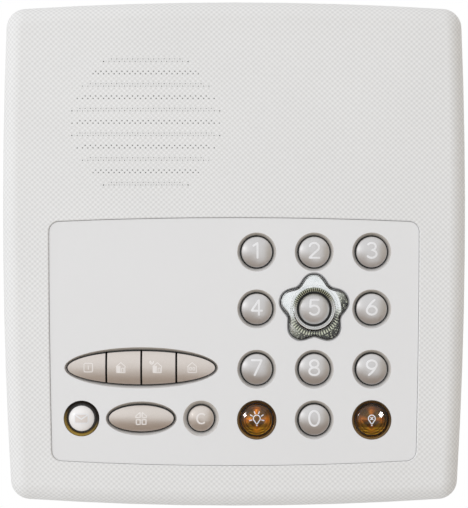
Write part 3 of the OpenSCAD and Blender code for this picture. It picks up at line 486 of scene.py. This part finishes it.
def outline(turn):
    """Radius of the star: full lobes with narrower hollows between them."""
    hollow = 0.5 - 0.5 * cos(5 * (turn - pi / 2))
    return STAR_R + STAR_SWELL * (1 - 2 * hollow ** 1.25)


def star(grow, level):
    return loop_of(lambda a: outline(a) + grow, lambda i: level)


def lofted(loops):
    """Closed skin through loops of as many points each."""
    bm = bmesh.new()
    rims = []
    for loop in loops:
        spots = [bm.verts.new(p) for p in loop]
        rims.append([bm.edges.new((a, b)) for a, b in zip(spots, spots[1:] + spots[:1])])
    for a, b in zip(rims, rims[1:] + rims[:1]):
        bmesh.ops.bridge_loops(bm, edges=a + b)
    bmesh.ops.recalc_face_normals(bm, faces=bm.faces)
    return bm


def toothed(radius, level):
    return loop_of(lambda a: radius, lambda i: level + (TOOTH if i % 4 < 2 else -TOOTH))


def lobe(share):
    """A loop between the ring of teeth and the edge of the lobes, which swell like cushions."""
    return loop_of(lambda a: TEETH_R + share * (outline(a) - STAR_INSET - TEETH_R),
                   lambda i: LOBE_TOP - LOBE_DROP * share ** 2)


chrome = Finish("star_chrome", {"Metallic": 1.0})
right = 1000 * chrome.axis("X") - STAR_AT[0]
up = 1000 * chrome.axis("Z") - STAR_AT[1]
out = (right * right + up * up).root()
tilt = (0.98 * up - 0.17 * right) / out
haze = chrome.mottle(350.0, 2.0)
stipple = chrome.node("ShaderNodeTexVoronoi", {"feature": "F1"},
                      {"Vector": chrome.place(), "Scale": 1400.0}, "Distance")
# Painted shade and painted reflection: the right and lower lobes are painted darker and olive, in stipple.
shaded = ((0.62 * right - 0.78 * up) / 6.0 + 0.2).clamped() * ((out - LOBE_R) * 3.0).clamped()
shaded_stipple = shaded * (6.0 * stipple - 1.2).clamped()
# Painted shade: teeth painted on the collar at the top and beyond it at the bottom, dark in their gaps.
teeth = ((2.2 - 2.4 * (out - INNER_TEETH).size()).clamped() * (2.2 * tilt - 0.3).clamped()
         + (2.2 - 2.0 * (out - OUTER_TEETH).size()).clamped() * (-2.2 * tilt - 0.2).clamped())
painted_gap_shade = teeth * (0.2 - 4.0 * (TEETH * up.turned(right)).cosine()).clamped()
# Painted shade: a dark crescent outside the collar on its lower side.
painted_crescent_shade = (1.6 - 3.2 * (out - CRESCENT_R).size()).clamped() * (-1.8 * tilt - 0.35).clamped()
plated = chrome.between(haze, colour("#D9DEDE"), colour("#FBFCFC"))
olive = chrome.between(0.7 * (teeth + shaded).clamped(), plated, colour("#D2D7B2"))
chrome.feed({"Base Color": chrome.between((shaded_stipple + painted_gap_shade + painted_crescent_shade).clamped(), olive, colour("#1B1E10")),
             "Roughness": 0.08 + 0.10 * haze + 0.3 * (teeth + shaded).clamped()})
chrome.relief(stipple * shaded, 0.0001)
insert = lofted([ring(6.2, 37.0), ring(6.2, 39.6), toothed(6.28, 39.75), toothed(6.92, 40.38), ring(7.02, 40.58),
                 ring(7.12, 40.58), ring(7.2, 40.5), ring(7.45, 39.25), toothed(7.5, 39.08),
                 toothed(TEETH_R - 0.05, 39.0)] + [lobe(i / LOBE_LOOPS) for i in range(LOBE_LOOPS + 1)]
                + [star(-STAR_INSET, 36.3), ring(6.95, 36.3), ring(6.95, 37.0)])
fitted(stood(insert, STAR_AT), "star_plating", chrome, "housing", ["star_insert"], sharp=32)

# Painted shadow: the cap's sides are black to stand in for the shadow in the gap round the star.
gap_shadow_black = moulded("gap_shadow_black", "#161617", "#0D0D0E", 0.6, 2200.0, 0.00001)
sides = lofted([star(0.45, 36.2), star(0.45, 37.0), star(0, 37.02), star(0, 39.65), star(-0.1, 39.73),
                star(-0.22, 39.77), star(-0.22, 36.24)])
fitted(stood(sides, STAR_AT), "star_sides", gap_shadow_black, "housing", [])

clear = Finish("star_clear", {"Roughness": 0.02, "IOR": 1.46, "Transmission Weight": 1.0})
wisp = clear.mottle(300.0)
clear.feed({"Base Color": clear.between(wisp, colour("#FAFBFC"), colour("#FFFFFF"))})
lens = lofted([star(-0.24, 39.2), star(-0.24, 39.8), star(-0.3, 39.87), star(-0.4, 39.9), ring(7.62, 39.9),
               ring(7.62, 39.2)])
fitted(stood(lens, STAR_AT), "star_cap", clear, "housing", ["star_lens"])


# Number keys: crowned caps, moulded in dark plastic and sprayed with a silver paint full of fine flakes. The
# numerals are printed on them in white.
RIM = 38.8
PAINT_EDGE = RIM - 0.9
CROWN = 1.6
CROWN_STEPS = 14
SHOULDER = 0.35
SHOULDER_STEPS = 6
FLANGE_TOP = 37.0
FLANGE_BACK = 35.8
NUMBER_R = 5.4
NUMBER_FLANGE = 6.5
COLUMNS = (8.0, 28.2, 48.4)
ROWS = (0.69, -19.32, -40.52, -58.32)
STROKE_STEP = 0.3
FILM_LIFT = 0.02
FILM_SWELL = 0.08
NUMERAL_STROKE = 0.72
NUMERAL_WIDE = 1.05
NUMERAL_TALL = 0.9
NUMERAL_UP = 0.6


def crowned(radius):
    """Half section of a crowned top with a rounded shoulder, from its middle out to its side."""
    swell = (radius ** 2 + CROWN ** 2) / (2 * CROWN)
    turn = asin((radius - SHOULDER) / (swell - SHOULDER))
    foot = RIM + CROWN - swell
    leans = [turn * i / CROWN_STEPS for i in range(CROWN_STEPS + 1)]
    bends = [turn + (pi / 2 - turn) * i / SHOULDER_STEPS for i in range(1, SHOULDER_STEPS + 1)]
    hub = ((swell - SHOULDER) * sin(turn), foot + (swell - SHOULDER) * cos(turn))
    return ([(swell * sin(a), foot + swell * cos(a)) for a in leans]
            + [(hub[0] + SHOULDER * sin(a), hub[1] + SHOULDER * cos(a)) for a in bends])


def round_key(radius, flange):
    return turned(crowned(radius) + [(radius, FLANGE_TOP), (flange, FLANGE_TOP), (flange, FLANGE_BACK),
                                     (0, FLANGE_BACK)])


def flake_paint(name, dark, light, roughness, lacquer):
    """Metallic paint on the cap of a key, down to its rim, over the dark plastic of its body."""
    finish = Finish(name, {"Coat Weight": lacquer, "Coat Roughness": 0.12})
    flakes = finish.mottle(7000.0, 1.0)
    sprayed = ((-1000 * finish.axis("Y") - PAINT_EDGE) * 4.0).clamped()
    paint = finish.between(flakes, colour(dark), colour(light))
    finish.feed({"Base Color": finish.between(sprayed, colour("#131313"), paint),
                 "Metallic": 0.9 * sprayed,
                 "Roughness": roughness + 0.16 * (flakes - 0.5)})
    finish.relief(flakes, 0.000004)
    return finish


def arc(u, v, wide, tall, start, end):
    """Points along part of an ellipse about u, v, between two angles in degrees."""
    steps = max(6, int(abs(end - start) / 12))
    turns = [radians(start + (end - start) * i / steps) for i in range(steps + 1)]
    return [(u + wide * cos(a), v + tall * sin(a)) for a in turns]


def printed(name, strokes, width, surface):
    """White print: strokes given in mm about the middle of a key, laid as a thin film on its crown."""
    line = bpy.data.curves.new(name, "CURVE")
    line.dimensions = "3D"
    line.bevel_depth = width / 2
    line.bevel_resolution = 2
    line.use_fill_caps = True
    for stroke in strokes:
        ring_shaped = hypot(stroke[0][0] - stroke[-1][0], stroke[0][1] - stroke[-1][1]) < 0.001
        spots = [(*stroke[0], 1.0)]
        for (a, b), (c, d) in zip(stroke, stroke[1:]):
            parts = max(1, int(hypot(c - a, d - b) / STROKE_STEP))
            spots += [(a + (c - a) * i / parts, b + (d - b) * i / parts, 1.0) for i in range(1, parts + 1)]
        if ring_shaped:
            spots.pop()
        else:
            spots = rounded(spots[1::-1], width)[::-1] + spots + rounded(spots[-2:], width)
        run = line.splines.new("POLY")
        run.use_cyclic_u = ring_shaped
        run.points.add(len(spots) - 1)
        for point, (u, v, share) in zip(run.points, spots):
            point.co = (u, v, 0, 1)
            point.radius = share
    drawn = bpy.data.objects.new(name, line)
    bm = bmesh.new()
    bm.from_mesh(drawn.to_mesh())
    drawn.to_mesh_clear()
    bpy.data.objects.remove(drawn)
    bpy.data.curves.remove(line)
    bmesh.ops.remove_doubles(bm, verts=bm.verts, dist=0.001)
    for spot in bm.verts:
        spot.co.z = surface(spot.co.x, spot.co.y) + FILM_LIFT + FILM_SWELL * spot.co.z
    return bm


def rounded(end, width):
    """Points that carry a stroke on past its end and draw it in to a round tip."""
    (a, b, _), (c, d, _) = end
    run = hypot(c - a, d - b)
    tips = [(sin(radians(t)) * width / 2, cos(radians(t))) for t in (30, 60, 88)]
    return [(c + (c - a) / run * reach, d + (d - b) / run * reach, share) for reach, share in tips]


def dome(radius):
    """Height of a round key's crown over the wall."""
    swell = (radius ** 2 + CROWN ** 2) / (2 * CROWN)
    return lambda u, v: RIM + CROWN - swell + sqrt(max(0.0, swell ** 2 - u * u - v * v))


ink = Finish("white_print", {"Roughness": 0.5})
wash = ink.mottle(1500.0)
ink.feed({"Base Color": ink.between(wash, colour("#E6E6E8"), colour("#F4F4F6"))})
SIX = [(0.95, 2.85), (0.2, 2.1), (-0.6, 1.1), (-1.2, 0.1), (-1.55, -0.7)] + arc(0, -1.2, 1.65, 1.65, 175, 535)
NUMERALS = [
    [arc(0, 0, 1.7, 2.9, 90, 450)],
    [[(-1.1, 1.8), (0.25, 2.9), (0.25, -2.9)]],
    [arc(0, 1.25, 1.6, 1.65, 165, -35) + [(-1.65, -2.9), (1.7, -2.9)]],
    [arc(-0.05, 1.5, 1.4, 1.4, 145, -90) + arc(-0.05, -1.4, 1.65, 1.5, 90, -145)],
    [[(0.75, -2.9), (0.75, 2.9), (-1.75, -1.3), (1.75, -1.3)]],
    [[(1.45, 2.9), (-1.15, 2.9), (-1.4, 0.2)] + arc(-0.05, -1.1, 1.7, 1.8, 135, -145)],
    [SIX],
    [[(-1.65, 2.9), (1.65, 2.9), (-0.7, -2.9)]],
    [arc(0, 1.5, 1.4, 1.4, -90, 270), arc(0, -1.4, 1.65, 1.5, 90, 450)],
    [[(-u, -v) for u, v in SIX]],
]
silver = flake_paint("silver_paint", "#C3C2C2", "#DEDDDE", 0.42, 0.1)
for digit, strokes in enumerate(NUMERALS):
    row, column = divmod(digit - 1, 3) if digit else (3, 1)
    place = (COLUMNS[column], ROWS[row])
    body = f"number_key_{digit}"
    cap = stood(round_key(NUMBER_R, NUMBER_FLANGE), place)
    fitted(cap, body + "_cap", silver, body, [body])
    sprung(body, place)
    sized = [[(NUMERAL_WIDE * u, NUMERAL_TALL * v + NUMERAL_UP) for u, v in stroke] for stroke in strokes]
    numeral = printed(body + "_film", sized, NUMERAL_STROKE, dome(NUMBER_R))
    fitted(stood(numeral, place), body + "_numeral", ink, body, [])


# Mode keys: one long oval cut into four keys with narrow seams, each with a rounded edge and a crown that runs
# both ways. They are sprayed champagne and carry white signs for the ways of arming.
OVAL_GAP = 0.55
FLANGE_LAP = 0.6
MODE_AT = (-32.6, -40.02)
MODE_SIZE = (51.8, 11.6)
BEYOND = 100.0
MODE_ENDS = (-BEYOND, -12.3, 0.0, 12.3, BEYOND)
MODE_MIDDLES = (-18.2, -6.15, 6.15, 18.2)
MODE_DOMES = (-18.145, -5.8425, 5.8425, 18.145)
HALF_SEAM = 0.35
OVAL_SEGMENTS = 120
CROWN_CUTS = 30
CROWN_CUT_PITCH = 0.9
SIGN_CORNER = 0.5
SIGN_SIZE = 0.86
SIGN_UP = 0.1
SIGN_STROKE = 0.33


def barrel(length, height):
    """Height of an oval key's crown over the wall."""
    swell = (height ** 2 / 4 + CROWN ** 2) / (2 * CROWN)
    sag = 0.6 * CROWN
    bow = (length ** 2 / 4 + sag ** 2) / (2 * sag)
    foot = RIM + CROWN - swell
    return lambda u, v: foot + sqrt(max(0.0, (swell - bow + sqrt(bow ** 2 - u * u)) ** 2 - v * v))


def oval(bm, length, height, low, high):
    """A flat oval, cut off square at the seams beside it."""
    made = bmesh.ops.create_circle(bm, cap_ends=True, radius=1, segments=OVAL_SEGMENTS)["verts"]
    bmesh.ops.scale(bm, vec=(length / 2, height / 2, 1), verts=made)
    for seam, side in ((low, -1), (high, 1)):
        bmesh.ops.bisect_plane(bm, geom=everything(bm), dist=0.0001, plane_co=(seam, 0, 0),
                               plane_no=(side, 0, 0), clear_outer=True)
    return bm


def oval_key(length, height, low=-BEYOND, high=BEYOND):
    """A crowned oval cap with a rounded edge and a skirt, on a flat flange."""
    bm = oval(bmesh.new(), length, height, low, high)
    drop = bm.verts.layers.float.new("drop")
    top = bm.faces[:][0]
    for spot in bm.verts:
        spot[drop] = SHOULDER
    bends = [radians(t) for t in (0, 18, 36, 54, 72, 90)]
    for a, b in zip(bends, bends[1:]):
        bmesh.ops.inset_region(bm, faces=[top], thickness=SHOULDER * (cos(a) - cos(b)), use_even_offset=True)
        for spot in top.verts:
            spot[drop] = SHOULDER * (1 - sin(b))
    reach = [CROWN_CUT_PITCH * i for i in range(-CROWN_CUTS, CROWN_CUTS + 1)]
    cuts = [((r, 0, 0), (1, 0, 0)) for r in reach] + [((0, r, 0), (0, 1, 0)) for r in reach]
    for spot, normal in cuts:
        crown = [face for face in bm.faces if all(vert[drop] < 0.0001 for vert in face.verts)]
        parts = {part for face in crown for part in (*face.verts, *face.edges)}
        bmesh.ops.bisect_plane(bm, geom=crown + list(parts), dist=0.01, plane_co=spot, plane_no=normal)
    height_at = barrel(length, height)
    for spot in bm.verts:
        spot.co.z = height_at(spot.co.x, spot.co.y) - spot[drop]
    rim = [edge for edge in bm.edges if edge.is_boundary]
    skirt = bmesh.ops.extrude_edge_only(bm, edges=rim)["geom"]
    for spot in skirt:
        if isinstance(spot, bmesh.types.BMVert):
            spot.co.z = FLANGE_TOP
    foot = [edge for edge in skirt if isinstance(edge, bmesh.types.BMEdge) and edge.is_boundary]
    bmesh.ops.holes_fill(bm, edges=foot)
    lap = 2 * (OVAL_GAP + FLANGE_LAP)
    flange = oval(bmesh.new(), length + lap, height + lap, low, high)
    raised = bmesh.ops.extrude_face_region(flange, geom=flange.faces[:])["geom"]
    for spot in raised:
        if isinstance(spot, bmesh.types.BMVert):
            spot.co.z = FLANGE_TOP - FLANGE_BACK
    bmesh.ops.translate(flange, vec=(0, 0, FLANGE_BACK), verts=flange.verts)
    shape = bpy.data.meshes.new("flange")
    flange.to_mesh(shape)
    flange.free()
    bm.from_mesh(shape)
    bpy.data.meshes.remove(shape)
    bmesh.ops.recalc_face_normals(bm, faces=bm.faces)
    return bm


def set_out(strokes, size, u, v):
    """A sign at its size, moved to its place on a key."""
    return [[(size * a + u, size * b + v) for a, b in stroke] for stroke in strokes]


def rounded_box(half_wide, half_tall):
    """A frame with rounded corners about the middle of a sign."""
    r = SIGN_CORNER
    u, v = half_wide - r, half_tall - r
    return (arc(-u, -v, r, r, 180, 270) + arc(u, -v, r, r, 270, 360) + arc(u, v, r, r, 0, 90)
            + arc(-u, v, r, r, 90, 180) + [(-half_wide, -v)])


def box_sign(left, low, right, high):
    """A square-cornered frame."""
    return [(left, low), (right, low), (right, high), (left, high), (left, low)]


def filled(left, low, right, high):
    """Close strokes that cover a field of a sign."""
    count = max(2, int((right - left) / STROKE_STEP) + 1)
    lines = [left + (right - left) * i / (count - 1) for i in range(count)]
    return [[(u, low), (u, high)] for u in lines]


HOUSE = [(-1.7, -2.0), (-1.7, 0.5), (-2.0, 0.3), (0.0, 2.1), (2.0, 0.3), (1.7, 0.5), (1.7, -2.0), (-1.7, -2.0)]
MOON = arc(-2.3, 2.2, 0.75, 0.75, 150, 390) + arc(-2.1, 2.55, 0.6, 0.6, 10, -190)
SIGNS = [
    ("disarm_key", -0.4, [rounded_box(1.75, 1.75), [(0, -0.7), (0, 0.7)]]),
    ("part_arm_key", -1.0, [HOUSE] + filled(-1.5, -1.8, -0.3, 0.6) + [box_sign(0.35, -1.9, 1.2, -0.2)]),
    ("night_arm_key", -0.5, [HOUSE, MOON] + filled(-1.5, -1.8, -0.3, 0.6) + [box_sign(0.35, -1.9, 1.2, -0.2)]),
    ("full_arm_key", -0.3, [HOUSE, box_sign(-1.0, -1.0, -0.3, 0.1), box_sign(0.3, -1.0, 1.0, 0.1)]),
]
soft_ink = Finish("soft_print", {"Roughness": 0.5})
soft_wash = soft_ink.mottle(1500.0)
soft_ink.feed({"Base Color": soft_ink.between(soft_wash, colour("#E6E0DD"), colour("#F1EDEA"))})
champagne = flake_paint("champagne_paint", "#CDC5BF", "#EAE4DF", 0.5, 0.6)
for i, (body, aside, strokes) in enumerate(SIGNS):
    cap = oval_key(*MODE_SIZE, MODE_ENDS[i] + HALF_SEAM, MODE_ENDS[i + 1] - HALF_SEAM)
    fitted(stood(cap, MODE_AT), body + "_cap", champagne, body, [body])
    sprung(body, (MODE_AT[0] + MODE_DOMES[i], MODE_AT[1]))
    drawing = set_out(strokes, SIGN_SIZE, MODE_MIDDLES[i] + aside, SIGN_UP)
    sign = printed(body + "_film", drawing, SIGN_STROKE, barrel(*MODE_SIZE))
    fitted(stood(sign, MODE_AT), body + "_sign", soft_ink, body, [])


# Home key and clear key: a small oval with a sign of four window panes under a roof, and a small round key with
# the letter C. Both are sprayed champagne like the mode keys.
HOME_AT = (-32.6, -57.82)
HOME_SIZE = (22.7, 9.1)
CLEAR_AT = (-11.6, -57.82)
SMALL_R = 4.5
SMALL_FLANGE = 5.65
PANE_STROKE = 0.4
LETTER_STROKE = 0.55
LETTER_C = arc(0.2, 0, 1.6, 1.75, 50, 310)
PANES = [[(-1.9, 0.35), (-1.9, 0.9), (-0.35, 2.2), (-0.35, 0.35), (-1.9, 0.35)],
         [(1.9, 0.35), (1.9, 0.9), (0.35, 2.2), (0.35, 0.35), (1.9, 0.35)],
         box_sign(-1.7, -2.0, -0.35, -0.35), box_sign(0.35, -2.0, 1.7, -0.35)]
fitted(stood(oval_key(*HOME_SIZE), HOME_AT), "home_key_cap", champagne, "home_key", ["home_key"])
sprung("home_key", (HOME_AT[0] - HOME_SIZE[0] / 4, HOME_AT[1]), "_left_rubber")
sprung("home_key", (HOME_AT[0] + HOME_SIZE[0] / 4, HOME_AT[1]), "_right_rubber")
sign = printed("home_key_film", PANES, PANE_STROKE, barrel(*HOME_SIZE))
fitted(stood(sign, HOME_AT), "home_key_sign", soft_ink, "home_key", [])
fitted(stood(round_key(SMALL_R, SMALL_FLANGE), CLEAR_AT), "clear_key_cap", champagne, "clear_key",
       ["clear_key"])
sprung("clear_key", CLEAR_AT)
sign = printed("clear_key_film", [LETTER_C], LETTER_STROKE, dome(SMALL_R))
fitted(stood(sign, CLEAR_AT), "clear_key_sign", soft_ink, "clear_key", [])


# Message key: a bright pale dome with an envelope on it, in a flared amber ring that a diode lights from behind.
# Dome and ring are moulded in translucent plastic; the ring's shade and light are painted into its colour.
MESSAGE_AT = (-53.6, -57.82)
MESSAGE_BORE = 5.05
MESSAGE_BODY = 6.2
MESSAGE_FLANGE = 5.6
RING_LIP = 0.3
RING_SUNK = 1.3
RING_FLARE = 1.25
RING_LAP = 0.45
RING_WALL = 0.7
RING_BACK = FLANGE_TOP - 0.8
FIELD_STROKE = 0.36
ENVELOPE_STROKE = 0.44
ENVELOPE_LIFT = 0.03
ENVELOPE = [rounded_box(2.4, 1.6), [(-2.2, 1.3), (0.0, -0.2), (2.2, 1.3)]]


def ring_lens(bore, body):
    """A ring with a flared, polished mouth and a flange behind the fascia."""
    bends = [radians(t) for t in (0, 15, 30, 45, 60, 75, 90)]
    mouth = [(bore + (body - RING_LIP - bore) * (1 - cos(a)), FASCIA_FACE - RING_SUNK + RING_FLARE * sin(a))
             for a in bends]
    section = mouth + [(body - 0.12, FASCIA_FACE), (body, FASCIA_FACE - 0.1), (body, FLANGE_TOP),
                       (body + RING_LAP, FLANGE_TOP), (body + RING_LAP, RING_BACK), (bore + RING_WALL, RING_BACK),
                       (bore + RING_WALL, FLANGE_TOP), (bore, FLANGE_TOP), mouth[0]]
    return turned(section)


def amber(name, place, dark, light):
    """Amber plastic, gilt behind: painted shade on the upper right of a ring, painted light like brass on its
    lower left.
    """
    finish = Finish(name, {"Metallic": 0.75, "Coat Weight": 0.4, "Coat Roughness": 0.05})
    right = 1000 * finish.axis("X") - place[0]
    up = 1000 * finish.axis("Z") - place[1]
    swirl = finish.mottle(220.0, 3.0)
    # Painted light and shade: lighter towards the lower left, darker towards the upper right.
    painted_light_and_shade = (0.25 - 0.04 * right - 0.11 * up + 0.5 * (swirl - 0.5)).clamped()
    finish.feed({"Base Color": finish.between(painted_light_and_shade, colour(dark), colour(light)), "Roughness": 0.2 + 0.1 * swirl})
    return finish


pale = Finish("pale_dome", {"Coat Weight": 0.6, "Coat Roughness": 0.1})
milk = pale.mottle(260.0, 3.0)
lit = ((-1000 * pale.axis("Y") - PAINT_EDGE) * 4.0).clamped()
white = pale.between(milk, colour("#F1EEED"), colour("#FAF9F9"))
pale.feed({"Base Color": pale.between(lit, colour("#17110B"), white), "Roughness": 0.22 + 0.08 * (milk - 0.5)})
message_amber = amber("message_amber", MESSAGE_AT, "#100B06", "#9A7D2A")
fitted(stood(ring_lens(MESSAGE_BORE, MESSAGE_BODY), MESSAGE_AT), "message_bezel", message_amber, "housing",
       ["message_ring"])
fitted(stood(round_key(SMALL_R, MESSAGE_FLANGE), MESSAGE_AT), "message_key_dome", pale, "message_key",
       ["message_key"])
sprung("message_key", MESSAGE_AT)
grey_ink = Finish("grey_print", {"Roughness": 0.5})
shade = grey_ink.mottle(1500.0)
grey_ink.feed({"Base Color": grey_ink.between(shade, colour("#DCD4CF"), colour("#E3DCD8"))})
field = printed("message_key_field", filled(-2.1, -1.3, 2.1, 1.3), FIELD_STROKE, dome(SMALL_R))
fitted(stood(field, MESSAGE_AT), "message_key_shade", grey_ink, "message_key", [])
sign = printed("message_key_film", ENVELOPE, ENVELOPE_STROKE, dome(SMALL_R))
bmesh.ops.translate(sign, vec=(0, 0, ENVELOPE_LIFT), verts=sign.verts)
fitted(stood(sign, MESSAGE_AT), "message_key_sign", ink, "message_key", [])


# Light keys: clear amber domes over a stepped gilt reflector, with a white bulb floating in each, one with rays
# and one crossed out. Each sits in a darker amber ring.
LIGHT_BORE = 5.85
LIGHT_BODY = 6.85
LIGHT_FLANGE = 6.4
LIGHT_STROKE = 0.34
GLASS_BACK = FLANGE_TOP - 0.6
BASE_TOP = FLANGE_TOP - 0.62
GLOBE = arc(0, 0.55, 1.2, 1.2, -50, 230)
BULB = [GLOBE + [(-0.15, -1.35), (0.15, -1.35), GLOBE[0]], [(-0.1, -1.9), (0.1, -1.9)]]
RAYS = [[(r * cos(radians(t)), 0.5 + r * sin(radians(t))) for r in (1.8, 2.6)]
        for t in (-15, 30, 70, 110, 150, 195)]
CROSS = [[(-0.4, 0.15), (0.4, 0.95)], [(-0.4, 0.95), (0.4, 0.15)]]
REFLECTOR = [(0, 36.9), (3.4, 36.9), (3.9, 37.3), (4.3, 37.3), (4.7, 36.9), (5.1, 36.9), (5.1, 36.5), (0, 36.5)]
amber_glass = Finish("amber_glass", {"Roughness": 0.07, "IOR": 1.49, "Transmission Weight": 1.0})
syrup = amber_glass.mottle(240.0, 3.0)
amber_glass.feed({"Base Color": amber_glass.between(syrup, colour("#E8C36C"), colour("#F4D78E"))})


def gilding(name, place, olive, petal):
    """Tarnished gilt: four amber petals on olive, with a painted golden highlight in bands along the foot."""
    finish = Finish(name, {"Metallic": 0.6})
    right = 1000 * finish.axis("X") - place[0]
    up = 1000 * finish.axis("Z") - place[1]
    out = (right * right + up * up).root()
    tarnish = finish.mottle(450.0, 1.0)
    petals = (4.0 * up.turned(right)).cosine() * (2.2 - 1.2 * (out - 2.6).size()).clamped()
    patch = (0.2 + 0.6 * petals + 0.9 * (tarnish - 0.5)).clamped()
    # Painted highlight: golden bands on the lower part of the reflector.
    painted_foot_highlight = ((-1.0 * up - 2.0) * 0.7).clamped() * (0.5 + 0.5 * (7.0 * up).cosine())
    ground = finish.between(patch, colour(olive), colour(petal))
    finish.feed({"Base Color": finish.between(painted_foot_highlight, ground, colour("#C9AE3A")),
                 "Roughness": 0.32 + 0.2 * (tarnish - 0.5)})
    return finish


def reflector():
    """Four-sided hollow with a stepped rim, which gathers a diode's light under the sign."""
    bm = turned(REFLECTOR)
    bmesh.ops.create_cone(bm, cap_ends=True, segments=4, radius1=3.3, radius2=0.7, depth=1.1,
                          matrix=Matrix.Translation((0, 0, 37.45)))
    return bm


light_domes = []
for body, u, strokes, olive, petal in (("light_on_key", COLUMNS[0], BULB + RAYS, "#7C6014", "#EFA426"),
                                       ("light_off_key", COLUMNS[2], BULB + CROSS, "#614B0F", "#C07E1C")):
    place = (u, ROWS[3])
    bezel = stood(ring_lens(LIGHT_BORE, LIGHT_BODY), place)
    bezel_amber = amber(body + "_amber", place, "#5A4529", "#745829")
    fitted(bezel, body + "_bezel", bezel_amber, "housing", [body.replace("key", "ring")])
    glass = turned(crowned(NUMBER_R) + [(NUMBER_R, GLASS_BACK), (0, GLASS_BACK)])
    light_domes.append(fitted(stood(glass, place), body + "_dome", amber_glass, body, [body]))
    gilt = gilding(body + "_gilt", place, olive, petal)
    fitted(stood(reflector(), place), body + "_reflector", gilt, body, [], sharp=25)
    base = turned([(0, BASE_TOP), (LIGHT_FLANGE, BASE_TOP), (LIGHT_FLANGE, FLANGE_BACK), (0, FLANGE_BACK)])
    base_amber = amber(body + "_base_amber", place, "#140E05", "#33250F")
    fitted(stood(base, place), body + "_base", base_amber, body, [])
    sprung(body, place)
    sign = printed(body + "_film", strokes, LIGHT_STROKE, dome(NUMBER_R))
    fitted(stood(sign, place), body + "_sign", ink, body, [])


# Studio: a pale floor, and a brown mat, a paler apron and a warm board that the keys mirror. One large soft lamp
# stands above on the left, with small ones for the glints, two of them for the light keys alone, in a white
# surround. The camera stands square in front of the panel.
CAMERA_BACK = 0.8406
VIEW_HEIGHT = 0.1783
FRONT = 0.0406
SENSOR = 36.0
SURROUND = 0.81
SPARKS = ((-0.7, -0.62, 0.18), (0.52, -0.51, 0.145))


def unseen(thing, *rays):
    """Hides a thing from some kinds of rays."""
    for ray in rays:
        setattr(thing, "visible_" + ray, False)


def backdrop(name, size, light, dark, roughness):
    """A painted square sheet that isn't part of the panel."""
    bm = bmesh.new()
    bmesh.ops.create_grid(bm, x_segments=1, y_segments=1, size=size)
    mesh = bpy.data.meshes.new(name)
    bm.to_mesh(mesh)
    bm.free()
    mesh.materials.append(moulded(name + "_paint", light, dark, roughness, 300.0, 0.0001).material)
    made = bpy.data.objects.new(name, mesh)
    bpy.context.scene.collection.objects.link(made)
    return made


def soft_lamp(name, place, size, energy):
    """A round lamp that faces the middle of the panel."""
    lamp = bpy.data.lights.new(name, "AREA")
    lamp.shape = "DISK"
    lamp.size = size
    lamp.energy = energy
    stand = bpy.data.objects.new(name, lamp)
    stand.location = place
    stand.rotation_euler = (-stand.location).to_track_quat("-Z", "Y").to_euler()
    bpy.context.scene.collection.objects.link(stand)
    return stand


floor = backdrop("floor", 1.45, "#F2F2F1", "#ECECEA", 0.7)
floor.location = (0, 1.15, -0.4)
mat = backdrop("mat", 0.04, "#AC9783", "#9C8773", 0.9)
mat.location = (0.0, -0.088, -0.097)
mat.scale = (12.0, 1.25, 1.0)
unseen(mat, "camera", "diffuse")
apron = backdrop("apron", 0.04, "#CFC5BB", "#C6BCB2", 0.9)
apron.location = (-0.255, -0.36, -0.097)
apron.scale = (6.25, 5.5, 1.0)
unseen(apron, "camera", "diffuse", "shadow")
side_board = backdrop("board", 0.5, "#C9BEAE", "#B9AE9E", 0.9)
side_board.location = (0.62, -0.3, -0.05)
side_board.rotation_euler = (0, radians(-90), 0)
unseen(side_board, "camera")

window = soft_lamp("window", (-0.9, -0.95, 0.4), size=1.3, energy=5.0)
unseen(window, "glossy")
glint = soft_lamp("glint", (-0.85, -0.65, 0.25), size=0.12, energy=0.6)
unseen(glint, "diffuse", "transmission")
for light_dome, place in zip(light_domes, SPARKS):
    spark = soft_lamp("spark", place, size=0.26, energy=4.5)
    unseen(spark, "camera", "diffuse", "transmission")
    sparkling = bpy.data.collections.new("sparkling")
    sparkling.objects.link(light_dome)
    spark.light_linking.receiver_collection = sparkling

world = bpy.data.worlds.new("surround")
world.use_nodes = True
bpy.context.scene.world = world
nodes, links = world.node_tree.nodes, world.node_tree.links
seen = nodes.new("ShaderNodeLightPath")
shown = nodes.new("ShaderNodeMath")
shown.operation = "MAXIMUM"
mirrored = nodes.new("ShaderNodeMath")
mirrored.operation = "MAXIMUM"
links.new(seen.outputs["Is Camera Ray"], shown.inputs[0])
links.new(seen.outputs["Is Transmission Ray"], shown.inputs[1])
links.new(shown.outputs[0], mirrored.inputs[0])
links.new(seen.outputs["Is Glossy Ray"], mirrored.inputs[1])
strength = nodes.new("ShaderNodeMapRange")
strength.inputs["To Min"].default_value = SURROUND
strength.inputs["To Max"].default_value = 1.0
links.new(mirrored.outputs[0], strength.inputs["Value"])
links.new(strength.outputs[0], nodes["Background"].inputs["Strength"])
nodes["Background"].inputs["Color"].default_value = (1, 1, 1, 1)

camera = bpy.data.cameras.new("camera")
camera.sensor_fit = "VERTICAL"
camera.sensor_height = SENSOR
camera.lens = SENSOR * (CAMERA_BACK - FRONT) / VIEW_HEIGHT
camera_stand = bpy.data.objects.new("camera", camera)
camera_stand.location = (0, -CAMERA_BACK, 0)
camera_stand.rotation_euler = (radians(90), 0, 0)
bpy.context.scene.collection.objects.link(camera_stand)
bpy.context.scene.camera = camera_stand
bpy.context.scene.view_settings.view_transform = "Standard"
